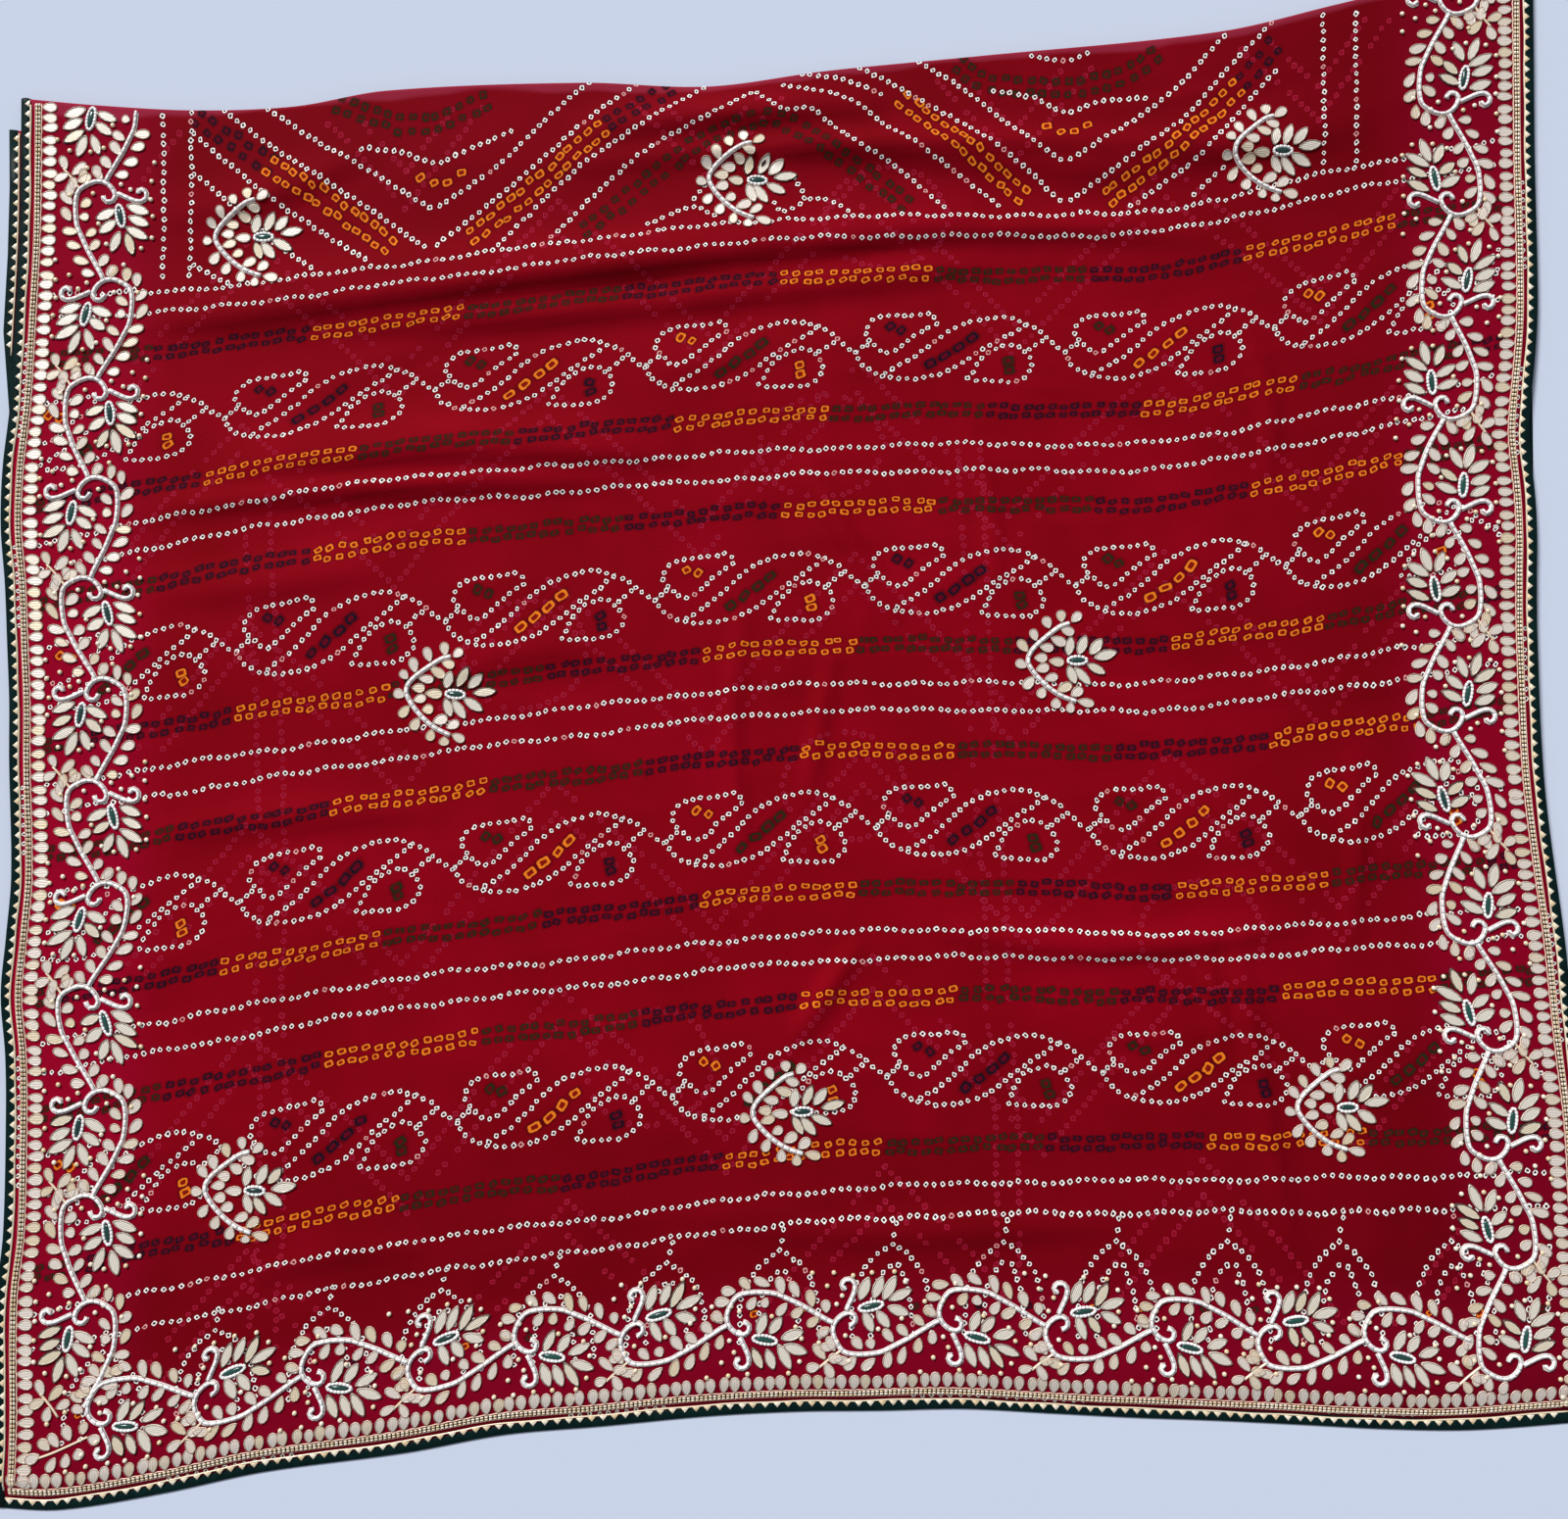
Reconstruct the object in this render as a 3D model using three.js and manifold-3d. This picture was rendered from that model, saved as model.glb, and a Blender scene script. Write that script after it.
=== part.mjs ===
// A light georgette cloth with a bandhani ground, laid flat with its decorated end towards the viewer.
// The cloth lies in three layers: the front layer face up, a second layer turned back under it at the
// top fold, and a third layer turned forward again on the floor. Millimetres, X across, Y from the hem
// to the top fold, Z up.
import * as THREE from 'three';
import * as BufferGeometryUtils from 'three/addons/utils/BufferGeometryUtils.js';
import Module from 'manifold-3d';

const wasm = await Module();
wasm.setup();

// Cloth.
const clothWidth = 1120;
const clothThickness = 1.0;
const frontLayerHeight = 5.9;
const middleLayerHeight = 3.3;
const bottomLayerHeight = 0.5;
const hemHeight = 0.5;
const hemLandingStart = 4;
const hemLandingEnd = 26;

// Green piping along the three finished edges.
const pipingWidth = 7.8;
const pipingFace = 1.0;
const seamGap = 0.35;
const clothInset = pipingWidth + seamGap;

// Flat trims sewn on the face, from the outer edge inwards.
const laceOuter = 8.6;
const laceInner = 10.8;
const beadLineOuter = 14.2;
const beadLineInner = 18.4;
const trimGap = 0.4;
const trimThickness = 1.2;

// Embroidered vine along the three edges.
const vineMiddle = 62;
const vineSwing = 20.5;
const stemWidth = 3.8;
const vineSegments = 6;
const lotusReach = 27;
const lotusNotch = 14;
const lotusOffset = 18;
const sprigLeaves = 8;

// Folds of the under layers.
const bottomFoldSetback = 32;
const bottomLayerShort = 22;

// Outline of the front layer. Each row is a point on that edge.
const leftEdge = [
  { y: -525, x: -559.5 },
  { y: -392, x: -558 },
  { y: -296, x: -553 },
  { y: -193, x: -553 },
  { y: -60, x: -557 },
  { y: 53, x: -562.6 },
  { y: 125, x: -567.6 },
  { y: 200, x: -571 },
  { y: 306, x: -565 },
  { y: 394, x: -562.8 },
  { y: 491, x: -564.6 },
];
const rightEdge = [
  { y: -466, x: 566 },
  { y: -260, x: 563 },
  { y: -123, x: 558 },
  { y: -18, x: 547 },
  { y: 89, x: 545 },
  { y: 161, x: 546 },
  { y: 233, x: 542 },
  { y: 343, x: 552 },
  { y: 453, x: 554 },
  { y: 592, x: 557 },
];
const hemEdge = [
  { x: -560, y: -524.5 },
  { x: -515, y: -526 },
  { x: -445, y: -516.5 },
  { x: -375, y: -503.5 },
  { x: -276, y: -490 },
  { x: -207, y: -478 },
  { x: -138, y: -470 },
  { x: 0, y: -460 },
  { x: 138, y: -459 },
  { x: 290, y: -465 },
  { x: 448, y: -473 },
  { x: 560, y: -466 },
];
const topFoldEdge = [
  { x: -560, y: 491 },
  { x: -506, y: 486 },
  { x: -432, y: 482 },
  { x: -358, y: 485 },
  { x: -290, y: 497 },
  { x: -145, y: 503 },
  { x: -51, y: 500 },
  { x: 36, y: 512 },
  { x: 145, y: 523 },
  { x: 327, y: 542 },
  { x: 415, y: 563 },
  { x: 500, y: 584 },
  { x: 560, y: 592 },
];

// How the grain of the cloth lies: the height on the floor of five woven rows, at nine columns.
const grainColumns = [-560, -420, -280, -140, 0, 140, 280, 420, 560];
const grainRows = [
  { row: 150, y: [-399, -370, -343, -326, -308, -301, -299, -297, -293] },
  { row: 333, y: [-208, -183, -158, -142, -126, -122, -125, -115, -104] },
  { row: 516, y: [-22, -1, 20, 38, 53, 56, 56, 74, 96] },
  { row: 699, y: [152, 180, 203, 215, 226, 231, 232, 257, 288] },
  { row: 882, y: [341, 346, 362, 381, 396, 400, 405, 437, 462] },
];
const lastRow = 1000;

// Wrinkles of the front layer, each a ridge from left to right: gentle above, steep below.
const wrinkles = [
  { x0: -480, y0: 318, x1: -150, y1: 358, x2: 150, y2: 398, rise: 8.5, above: 30, below: 13 },
  { x0: -330, y0: 318, x1: -130, y1: 330, x2: -10, y2: 344, rise: 4.5, above: 15, below: 13 },
  { x0: -90, y0: 338, x1: 40, y1: 350, x2: 160, y2: 366, rise: 4, above: 15, below: 13 },
  { x0: -420, y0: 208, x1: -250, y1: 224, x2: -70, y2: 220, rise: 7, above: 26, below: 13 },
  { x0: -160, y0: 460, x1: -60, y1: 474, x2: 75, y2: 482, rise: 6, above: 15, below: 12 },
  { x0: -470, y0: 118, x1: -360, y1: 128, x2: -280, y2: 140, rise: 3, above: 18, below: 14 },
  { x0: -10, y0: 455, x1: 130, y1: 444, x2: 270, y2: 436, rise: 3.5, above: 16, below: 13 },
  { x0: 180, y0: 425, x1: 300, y1: 448, x2: 440, y2: 470, rise: 3, above: 22, below: 16 },
  { x0: -250, y0: 60, x1: -190, y1: 76, x2: -120, y2: 80, rise: 2.5, above: 18, below: 14 },
];

// Soft swells that run across the cloth.
const swells = [
  { row: 90, rise: 1.2, spread: 45, drift: 0.6 },
  { row: 235, rise: 2.4, spread: 42, drift: 2.2 },
  { row: 400, rise: 2.0, spread: 50, drift: 4.0 },
  { row: 590, rise: 2.6, spread: 46, drift: 5.1 },
  { row: 770, rise: 2.8, spread: 38, drift: 1.3 },
  { row: 940, rise: 2.2, spread: 36, drift: 3.1 },
];

// Small embroidered sprigs on the ground, by centre.
const sprigs = [
  { name: 'sprig_top_left', x: -386, y: 385 },
  { name: 'sprig_top_middle', x: -25, y: 427 },
  { name: 'sprig_top_right', x: 354, y: 448 },
  { name: 'sprig_middle_left', x: -245, y: 54 },
  { name: 'sprig_middle_right', x: 205, y: 72 },
  { name: 'sprig_low_left', x: -383, y: -304 },
  { name: 'sprig_low_middle', x: 7, y: -251 },
  { name: 'sprig_low_right', x: 389, y: -248 },
];

function along(table, key, value, at) {
  // Smooth curve through a table, flat beyond its ends.
  const n = table.length;
  if (at <= table[0][key]) return table[0][value];
  if (at >= table[n - 1][key]) return table[n - 1][value];
  let i = 0;
  while (table[i + 1][key] < at) i += 1;
  const a = table[Math.max(0, i - 1)];
  const b = table[i];
  const c = table[i + 1];
  const d = table[Math.min(n - 1, i + 2)];
  const span = c[key] - b[key];
  const t = (at - b[key]) / span;
  const slopeB = ((c[value] - a[value]) / (c[key] - a[key])) * span;
  const slopeC = ((d[value] - b[value]) / (d[key] - b[key])) * span;
  const t2 = t * t;
  const t3 = t2 * t;
  return (
    (2 * t3 - 3 * t2 + 1) * b[value] +
    (t3 - 2 * t2 + t) * slopeB +
    (3 * t2 - 2 * t3) * c[value] +
    (t3 - t2) * slopeC
  );
}

function smooth(low, high, value) {
  const t = Math.min(1, Math.max(0, (value - low) / (high - low)));
  return t * t * (3 - 2 * t);
}

const grainTables = grainRows.map(({ y }) => grainColumns.map((x, i) => ({ x, y: y[i] })));

function rowY(x, row) {
  // Height on the floor of a woven row at x.
  const column = [{ row: 0, y: along(hemEdge, 'x', 'y', x) }];
  grainRows.forEach(({ row: r }, i) => column.push({ row: r, y: along(grainTables[i], 'x', 'y', x) }));
  column.push({ row: lastRow, y: along(topFoldEdge, 'x', 'y', x) });
  return along(column, 'row', 'y', row);
}

function frontPlan(across, row) {
  // Floor position of a point of the front layer: across from the left edge, row from the hem.
  const y = rowY(across - clothWidth / 2, row);
  const left = along(leftEdge, 'y', 'x', y);
  const right = along(rightEdge, 'y', 'x', y);
  return [left + ((right - left) * across) / clothWidth, y];
}

function ridge(x, y, fold) {
  const t = (x - fold.x0) / (fold.x2 - fold.x0);
  if (t <= 0 || t >= 1) return 0;
  const bend = fold.y1 - (fold.y0 + ((fold.y2 - fold.y0) * (fold.x1 - fold.x0)) / (fold.x2 - fold.x0));
  const line = fold.y0 + (fold.y2 - fold.y0) * t + 4 * bend * t * (1 - t);
  const d = y - line;
  const width = d > 0 ? fold.above : fold.below;
  return fold.rise * Math.sin(Math.PI * t) ** 0.7 * Math.exp(-((d / width) ** 2));
}

function lift(across, row, x, y) {
  // How far the wrinkles and swells raise the front layer. The borders lie nearly flat.
  let z = 0;
  for (const fold of wrinkles) z += ridge(x, y, fold);
  for (const swell of swells) {
    const wave = 0.55 + 0.45 * Math.sin(x / 120 + swell.drift);
    z += swell.rise * wave * Math.exp(-(((row - swell.row) / swell.spread) ** 2));
  }
  const side = Math.min(across, clothWidth - across);
  return z * (0.18 + 0.82 * smooth(40, 130, side)) * smooth(8, 110, row);
}

function middleShift(row) {
  // The middle layer peeks out on the left below the top fold, and a little at the bottom fold.
  const down = lastRow - row;
  return -9 * smooth(0, 70, down) * (1 - smooth(325, 420, down)) - 4 * (1 - smooth(60, 300, row));
}

function bottomShift(row) {
  return -4 - 4 * smooth(60, 380, row) - 3 * smooth(740, 980, row);
}

// One path from the front hem over the top fold, back under, round the bottom fold and along the floor.
const frontRows = [
  20, 34, 105, 160, 215, 270, 333, 390, 445, 500, 550, 600, 645, 678, 697, 712, 735, 770, 805, 828,
  846, 860, 874, 890, 912, 936, 955, 972, 987,
];
const foldAngles = [60, 20, -20, -60];
const middleRows = [985, 945, 890, 760, 620, 460, 300, 170, 66];
const bottomRows = [66, 220, 440, 660, 860];

function pathStations(start) {
  const stations = [{ kind: 'front', row: start }];
  for (const row of frontRows) stations.push({ kind: 'front', row });
  for (const angle of foldAngles) stations.push({ kind: 'topFold', angle });
  for (const row of middleRows) stations.push({ kind: 'middle', row });
  for (const angle of foldAngles) stations.push({ kind: 'bottomFold', angle });
  for (const row of bottomRows) stations.push({ kind: 'bottom', row });
  stations.push({ kind: 'end' });
  return stations;
}

function pathPoint(across, station) {
  // Middle of the cloth's thickness at one station.
  const { kind, row, angle } = station;
  const turn = ((angle || 0) * Math.PI) / 180;
  if (kind === 'front') {
    const [x, y] = frontPlan(across, row);
    const landing = smooth(hemLandingStart, hemLandingEnd, row);
    const rest = hemHeight + (frontLayerHeight - hemHeight) * landing;
    return [x, y, rest + lift(across, row, x, y)];
  }
  if (kind === 'topFold') {
    const [x, y] = frontPlan(across, lastRow);
    const upper = frontLayerHeight + lift(across, lastRow, x, y);
    const lower = middleLayerHeight + 0.35 * lift(across, lastRow, x, y);
    const reach = 1.4;
    return [
      x,
      y - clothThickness / 2 - reach + reach * Math.cos(turn),
      (upper + lower) / 2 + ((upper - lower) / 2) * Math.sin(turn),
    ];
  }
  if (kind === 'middle') {
    const [x, y] = frontPlan(across, row);
    const rise = 0.35 * lift(across, row, x, y) * smooth(60, 150, row);
    return [x + middleShift(row), y, middleLayerHeight + rise];
  }
  const [foldX, foldY] = frontPlan(across, bottomFoldSetback);
  if (kind === 'bottomFold') {
    const reach = (middleLayerHeight - bottomLayerHeight) / 2;
    return [
      foldX - 4,
      foldY + clothThickness / 2 + reach - reach * Math.cos(turn),
      (middleLayerHeight + bottomLayerHeight) / 2 + reach * Math.sin(turn),
    ];
  }
  if (kind === 'bottom') {
    const [x, y] = frontPlan(across, row);
    return [x + bottomShift(row), y, bottomLayerHeight];
  }
  const [x, y] = frontPlan(across, lastRow);
  return [x + bottomShift(lastRow), y - bottomLayerShort, bottomLayerHeight];
}

function sidePoint(across, stations, index, offset) {
  // A point off the middle of the cloth, square to the path: plus is the face, minus the back.
  const here = pathPoint(across, stations[index]);
  const before = pathPoint(across, stations[Math.max(0, index - 1)]);
  const after = pathPoint(across, stations[Math.min(stations.length - 1, index + 1)]);
  const flat = ['bottom', 'end'].includes(stations[index].kind) || index === 0;
  const first = new THREE.Vector2(here[1] - before[1], here[2] - before[2]).normalize();
  const second = new THREE.Vector2(after[1] - here[1], after[2] - here[2]).normalize();
  const run = first.add(second).normalize();
  const way = stations[index].kind === 'middle' ? -1 : 1;
  if (flat) run.set(way, 0);
  return [here[0], here[1] - run.y * offset, here[2] + run.x * offset];
}

function closedSheet(columns, rows, facePoint, backPoint) {
  // A closed thin body from a grid of face points and a grid of back points.
  const plane = new THREE.PlaneGeometry(1, 1, columns - 1, rows - 1);
  const pattern = Array.from(plane.getIndex().array);
  const count = columns * rows;
  const positions = [];
  const add = (point) => positions.push(point[0], point[1], point[2]);
  // The plane's own rows run from its top edge down, so the last row comes first.
  for (let j = rows - 1; j >= 0; j -= 1) {
    for (let i = 0; i < columns; i += 1) add(facePoint(i, j));
  }
  for (let j = rows - 1; j >= 0; j -= 1) {
    for (let i = 0; i < columns; i += 1) add(backPoint(i, j));
  }
  const triangles = [...pattern];
  for (let k = 0; k < pattern.length; k += 3) {
    triangles.push(pattern[k] + count, pattern[k + 2] + count, pattern[k + 1] + count);
  }
  const rim = [];
  for (let i = 0; i < columns - 1; i += 1) rim.push((rows - 1) * columns + i);
  for (let j = rows - 1; j > 0; j -= 1) rim.push(j * columns + columns - 1);
  for (let i = columns - 1; i > 0; i -= 1) rim.push(i);
  for (let j = 0; j < rows - 1; j += 1) rim.push(j * columns);
  rim.forEach((a, k) => {
    const b = rim[(k + 1) % rim.length];
    triangles.push(a, a + count, b + count, a, b + count, b);
  });
  const geometry = new THREE.BufferGeometry();
  geometry.setAttribute('position', new THREE.Float32BufferAttribute(positions, 3));
  geometry.setIndex(triangles);
  return geometry;
}

const innerColumns = [105];
const panelCells = 16;
for (let k = 1; k < panelCells; k += 1) innerColumns.push(105 + ((clothWidth - 210) * k) / panelCells);
innerColumns.push(clothWidth - 105);
const clothColumns = [clothInset, 20, ...innerColumns, clothWidth - 20, clothWidth - clothInset];

function strip(columns, stations, face, back) {
  return closedSheet(
    columns.length,
    stations.length,
    (i, j) => sidePoint(columns[i], stations, j, face),
    (i, j) => sidePoint(columns[i], stations, j, -back),
  );
}

const half = clothThickness / 2;
const clothStations = pathStations(clothInset);
const clothGeometry = strip(clothColumns, clothStations, half, half);

// Side piping, mitred at the hem: its outer edge starts lower than its inner edge.
function sidePiping(outer, inner) {
  const columns = outer < inner ? [outer, inner] : [inner, outer];
  const point = (i, j, offset) => {
    if (j > 0) return sidePoint(columns[i], clothStations, j, offset);
    const row = columns[i] === outer ? seamGap : clothInset;
    return sidePoint(columns[i], [{ kind: 'front', row }, clothStations[1]], 0, offset);
  };
  return closedSheet(
    2,
    clothStations.length,
    (i, j) => point(i, j, pipingFace),
    (i, j) => point(i, j, -half),
  );
}

const leftPipingGeometry = sidePiping(0, pipingWidth);
const rightPipingGeometry = sidePiping(clothWidth, clothWidth - pipingWidth);

// Hem piping between the two mitres.
function hemPoint(i, j, offset) {
  const last = clothColumns.length - 1;
  let across = clothColumns[i];
  const mitre = j === 0 ? seamGap : clothInset;
  if (i === 0) across = mitre;
  if (i === last) across = clothWidth - mitre;
  const row = j === 0 ? 0 : pipingWidth;
  return sidePoint(across, [{ kind: 'front', row }, { kind: 'front', row: 20 }], 0, offset);
}

const hemPipingGeometry = closedSheet(
  clothColumns.length,
  2,
  (i, j) => hemPoint(i, j, pipingFace),
  (i, j) => hemPoint(i, j, -half),
);

// The face of the cloth as it was built, for everything that is sewn on it.
const faceRows = clothStations.filter(({ kind }) => kind === 'front').length;
const faceGrid = [];
for (let j = 0; j < faceRows; j += 1) {
  faceGrid.push(clothColumns.map((across) => sidePoint(across, clothStations, j, half)));
}

function between(list, value) {
  let k = 0;
  while (k < list.length - 2 && list[k + 1] < value) k += 1;
  return [k, (value - list[k]) / (list[k + 1] - list[k])];
}

function facePoint(across, row, raise) {
  // On the built face, measured by its own grid.
  const rows = clothStations.slice(0, faceRows).map(({ row: r }) => r);
  const [i, a] = between(clothColumns, across);
  const [j, b] = between(rows, row);
  const mix = (p, q, t) => p.map((value, k) => value + (q[k] - value) * t);
  const low = mix(faceGrid[j][i], faceGrid[j][i + 1], a);
  const high = mix(faceGrid[j + 1][i], faceGrid[j + 1][i + 1], a);
  const point = mix(low, high, b);
  return [point[0], point[1], point[2] + raise];
}

// A tape that runs down the left edge, along the hem and up the right edge.
function tape(outer, inner) {
  const pairs = [...frontRows].reverse().map((row) => [[outer, row], [inner, row]]);
  pairs.push([[outer, outer], [inner, inner]]);
  for (let i = 1; i < clothColumns.length - 1; i += 1) {
    pairs.push([[clothColumns[i], outer], [clothColumns[i], inner]]);
  }
  const farOuter = clothWidth - outer;
  const farInner = clothWidth - inner;
  pairs.push([[farOuter, outer], [farInner, inner]]);
  for (const row of frontRows) pairs.push([[farOuter, row], [farInner, row]]);
  return closedSheet(
    2,
    pairs.length,
    (i, j) => facePoint(...pairs[j][1 - i], trimGap + trimThickness),
    (i, j) => facePoint(...pairs[j][1 - i], trimGap),
  );
}

const laceGeometry = tape(laceOuter, laceInner);
const beadLineGeometry = tape(beadLineOuter, beadLineInner);

// Embroidery: a flat outline cut from a thin layer that lies just above the face.
function toSolid(geometry) {
  const bare = geometry.clone();
  bare.deleteAttribute('normal');
  bare.deleteAttribute('uv');
  const merged = BufferGeometryUtils.mergeVertices(bare, 1e-4);
  return new wasm.Manifold(
    new wasm.Mesh({
      numProp: 3,
      vertProperties: new Float32Array(merged.getAttribute('position').array),
      triVerts: new Uint32Array(merged.getIndex().array),
    }),
  );
}

function fromSolid(solid) {
  const mesh = solid.getMesh();
  const positions = [];
  for (let k = 0; k < mesh.numVert; k += 1) {
    for (let axis = 0; axis < 3; axis += 1) positions.push(mesh.vertProperties[k * mesh.numProp + axis]);
  }
  const geometry = new THREE.BufferGeometry();
  geometry.setAttribute('position', new THREE.Float32BufferAttribute(positions, 3));
  geometry.setIndex(Array.from(mesh.triVerts));
  return geometry;
}

function prism(points) {
  const shape = new THREE.Shape(points.map(([x, y]) => new THREE.Vector2(x, y)));
  const geometry = new THREE.ExtrudeGeometry(shape, { depth: 60, bevelEnabled: false });
  geometry.translate(0, 0, -10);
  return toSolid(geometry);
}

function layerAbove(firstColumn, lastColumn, firstRow, lastFaceRow) {
  const point = (i, j, raise) => {
    const [x, y, z] = faceGrid[firstRow + j][firstColumn + i];
    return [x, y, z + raise];
  };
  return toSolid(
    closedSheet(
      lastColumn - firstColumn + 1,
      lastFaceRow - firstRow + 1,
      (i, j) => point(i, j, trimGap + trimThickness),
      (i, j) => point(i, j, trimGap),
    ),
  );
}

function ribbon(curve, width) {
  // Outline of a strip of even width along a line of points.
  const left = [];
  const right = [];
  curve.forEach((point, k) => {
    const before = curve[Math.max(0, k - 1)];
    const after = curve[Math.min(curve.length - 1, k + 1)];
    const run = new THREE.Vector2(after[0] - before[0], after[1] - before[1]).normalize();
    left.push([point[0] - (run.y * width) / 2, point[1] + (run.x * width) / 2]);
    right.push([point[0] + (run.y * width) / 2, point[1] - (run.x * width) / 2]);
  });
  return [...right, ...left.reverse()];
}

function lotus(base, heading, reach, notch, petals, spread, stalk) {
  // A fan of pointed petals that opens from its base, on a thin stalk that tapers to its own end.
  const points = [];
  for (let k = 0; k <= 2 * petals; k += 1) {
    const angle = heading + (spread * (k / petals - 1)) / 2;
    const radius = k % 2 === 1 ? reach * (1 - 0.12 * Math.abs(k / petals - 1)) : notch;
    points.push([base[0] + radius * Math.cos(angle), base[1] + radius * Math.sin(angle)]);
  }
  const run = new THREE.Vector2(stalk[0] - base[0], stalk[1] - base[1]).normalize();
  const foot = [base[0] + run.x * 5, base[1] + run.y * 5];
  points.push([foot[0] + run.y * 1.8, foot[1] - run.x * 1.8]);
  points.push([stalk[0] + run.y * 0.9, stalk[1] - run.x * 0.9]);
  points.push([stalk[0] - run.y * 0.9, stalk[1] + run.x * 0.9]);
  points.push([foot[0] - run.y * 1.8, foot[1] + run.x * 1.8]);
  return points;
}

// The vine on each side. The first lotus stands at start along the edge, the others a pitch apart;
// the stem runs between two of those places, counted from the first.
const vineSides = [
  { name: 'vine_left', start: 8, pitch: 74.1, from: 0.15, to: 12.4 },
  { name: 'vine_hem', start: 103, pitch: 74.5, from: 0, to: 12.2 },
  { name: 'vine_right', start: 61, pitch: 76.3, from: 0.6, to: 12.8 },
];

function vinePlan(name, t, inset) {
  if (name === 'vine_left') {
    const y = 491 - t;
    return [along(leftEdge, 'y', 'x', y) + inset, y];
  }
  if (name === 'vine_hem') {
    const x = -560 + t;
    return [x, along(hemEdge, 'x', 'y', x) + inset];
  }
  const y = -466 + t;
  return [along(rightEdge, 'y', 'x', y) - inset, y];
}

function stemPoint(side, place) {
  // The stem swings in past each even lotus and out past each odd one, in round arcs.
  const phase = Math.PI * place;
  const t = side.start + side.pitch * place + 5 * Math.sin(2 * phase);
  return vinePlan(side.name, t, vineMiddle + vineSwing * Math.cos(phase));
}

function outlineSolid(points) {
  const loop = points.map(([x, y]) => new THREE.Vector2(x, y));
  const turned = THREE.ShapeUtils.isClockWise(loop) ? [...points].reverse() : points;
  return prism(turned);
}

function vineOutline(side) {
  const places = [side.from];
  for (let k = Math.ceil(side.from * vineSegments + 0.3); k < side.to * vineSegments - 0.3; k += 1) {
    places.push(k / vineSegments);
  }
  places.push(side.to);
  const curve = places.map((place) => stemPoint(side, place));
  let solid = outlineSolid(ribbon(curve, stemWidth));
  for (let k = Math.ceil(side.from + 0.5); k <= side.to - 0.2; k += 1) {
    const centre = side.start + side.pitch * k;
    const sign = k % 2 === 0 ? -1 : 1;
    const joint = stemPoint(side, k - 0.5);
    const base = vinePlan(side.name, centre - 13, vineMiddle + sign * lotusOffset);
    const ahead = vinePlan(side.name, centre + 10, vineMiddle + sign * (lotusOffset + 1));
    const heading = Math.atan2(ahead[1] - base[1], ahead[0] - base[0]);
    const fan = lotus(base, heading, lotusReach, lotusNotch, 5, 2.5, joint);
    solid = solid.add(outlineSolid(fan));
  }
  return solid;
}

function sprigOutline({ x, y }) {
  // A crescent stem open to the right, leaves around it, and a lotus in its mouth.
  const radius = 25;
  const stem = [];
  for (let k = 0; k <= sprigLeaves; k += 1) {
    const angle = ((72 + (216 * k) / sprigLeaves) * Math.PI) / 180;
    stem.push([x - 2 + radius * Math.cos(angle) * 0.86, y + radius * Math.sin(angle) * 1.12]);
  }
  let solid = outlineSolid(ribbon(stem, stemWidth));
  const middleOfStem = [x - 2 - radius * 0.84, y - 1];
  solid = solid.add(outlineSolid(lotus([x + 5, y - 1], 0, 29, 15, 5, 2.7, middleOfStem)));
  for (let k = 0; k <= sprigLeaves; k += 1) {
    const [px, py] = stem[k];
    const out = Math.atan2(py - y, px - x);
    const tip = [px + 12.5 * Math.cos(out), py + 12.5 * Math.sin(out)];
    const wide = [px + 8 * Math.cos(out), py + 8 * Math.sin(out)];
    const acrossX = -Math.sin(out) * 4;
    const acrossY = Math.cos(out) * 4;
    solid = solid.add(
      outlineSolid([
        [px, py],
        [wide[0] + acrossX, wide[1] + acrossY],
        tip,
        [wide[0] - acrossX, wide[1] - acrossY],
      ]),
    );
  }
  return solid;
}

function coveringLayer(solid) {
  // The part of the layer above the face whose cells lie under an outline.
  const { min, max } = solid.boundingBox();
  let [i0, i1, j0, j1] = [clothColumns.length - 1, 0, faceRows - 1, 0];
  for (let j = 0; j < faceRows - 1; j += 1) {
    for (let i = 0; i < clothColumns.length - 1; i += 1) {
      const corners = [faceGrid[j][i], faceGrid[j][i + 1], faceGrid[j + 1][i], faceGrid[j + 1][i + 1]];
      const xs = corners.map((p) => p[0]);
      const ys = corners.map((p) => p[1]);
      const clearAcross = Math.max(...xs) < min[0] || Math.min(...xs) > max[0];
      const clearAlong = Math.max(...ys) < min[1] || Math.min(...ys) > max[1];
      if (clearAcross || clearAlong) continue;
      i0 = Math.min(i0, i);
      i1 = Math.max(i1, i + 1);
      j0 = Math.min(j0, j);
      j1 = Math.max(j1, j + 1);
    }
  }
  return layerAbove(i0, i1, j0, j1);
}

function sewnOn(outline) {
  return fromSolid(coveringLayer(outline).intersect(outline));
}

// Colours and finishes.
const crimson = new THREE.MeshStandardMaterial({ color: 0x8c0a1e, roughness: 0.75, metalness: 0 });
const darkGreen = new THREE.MeshStandardMaterial({ color: 0x0f3a2c, roughness: 0.45, metalness: 0 });
const goldThread = new THREE.MeshStandardMaterial({ color: 0xb98a4a, roughness: 0.4, metalness: 0.6 });
const goldBead = new THREE.MeshStandardMaterial({ color: 0xc8a060, roughness: 0.3, metalness: 0.7 });
const paleGold = new THREE.MeshStandardMaterial({ color: 0xe2d3b0, roughness: 0.4, metalness: 0.5 });

const cloth = new THREE.Group();

function addPiece(name, geometry, material) {
  const mesh = new THREE.Mesh(geometry, material.clone());
  mesh.name = name;
  cloth.add(mesh);
}

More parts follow.
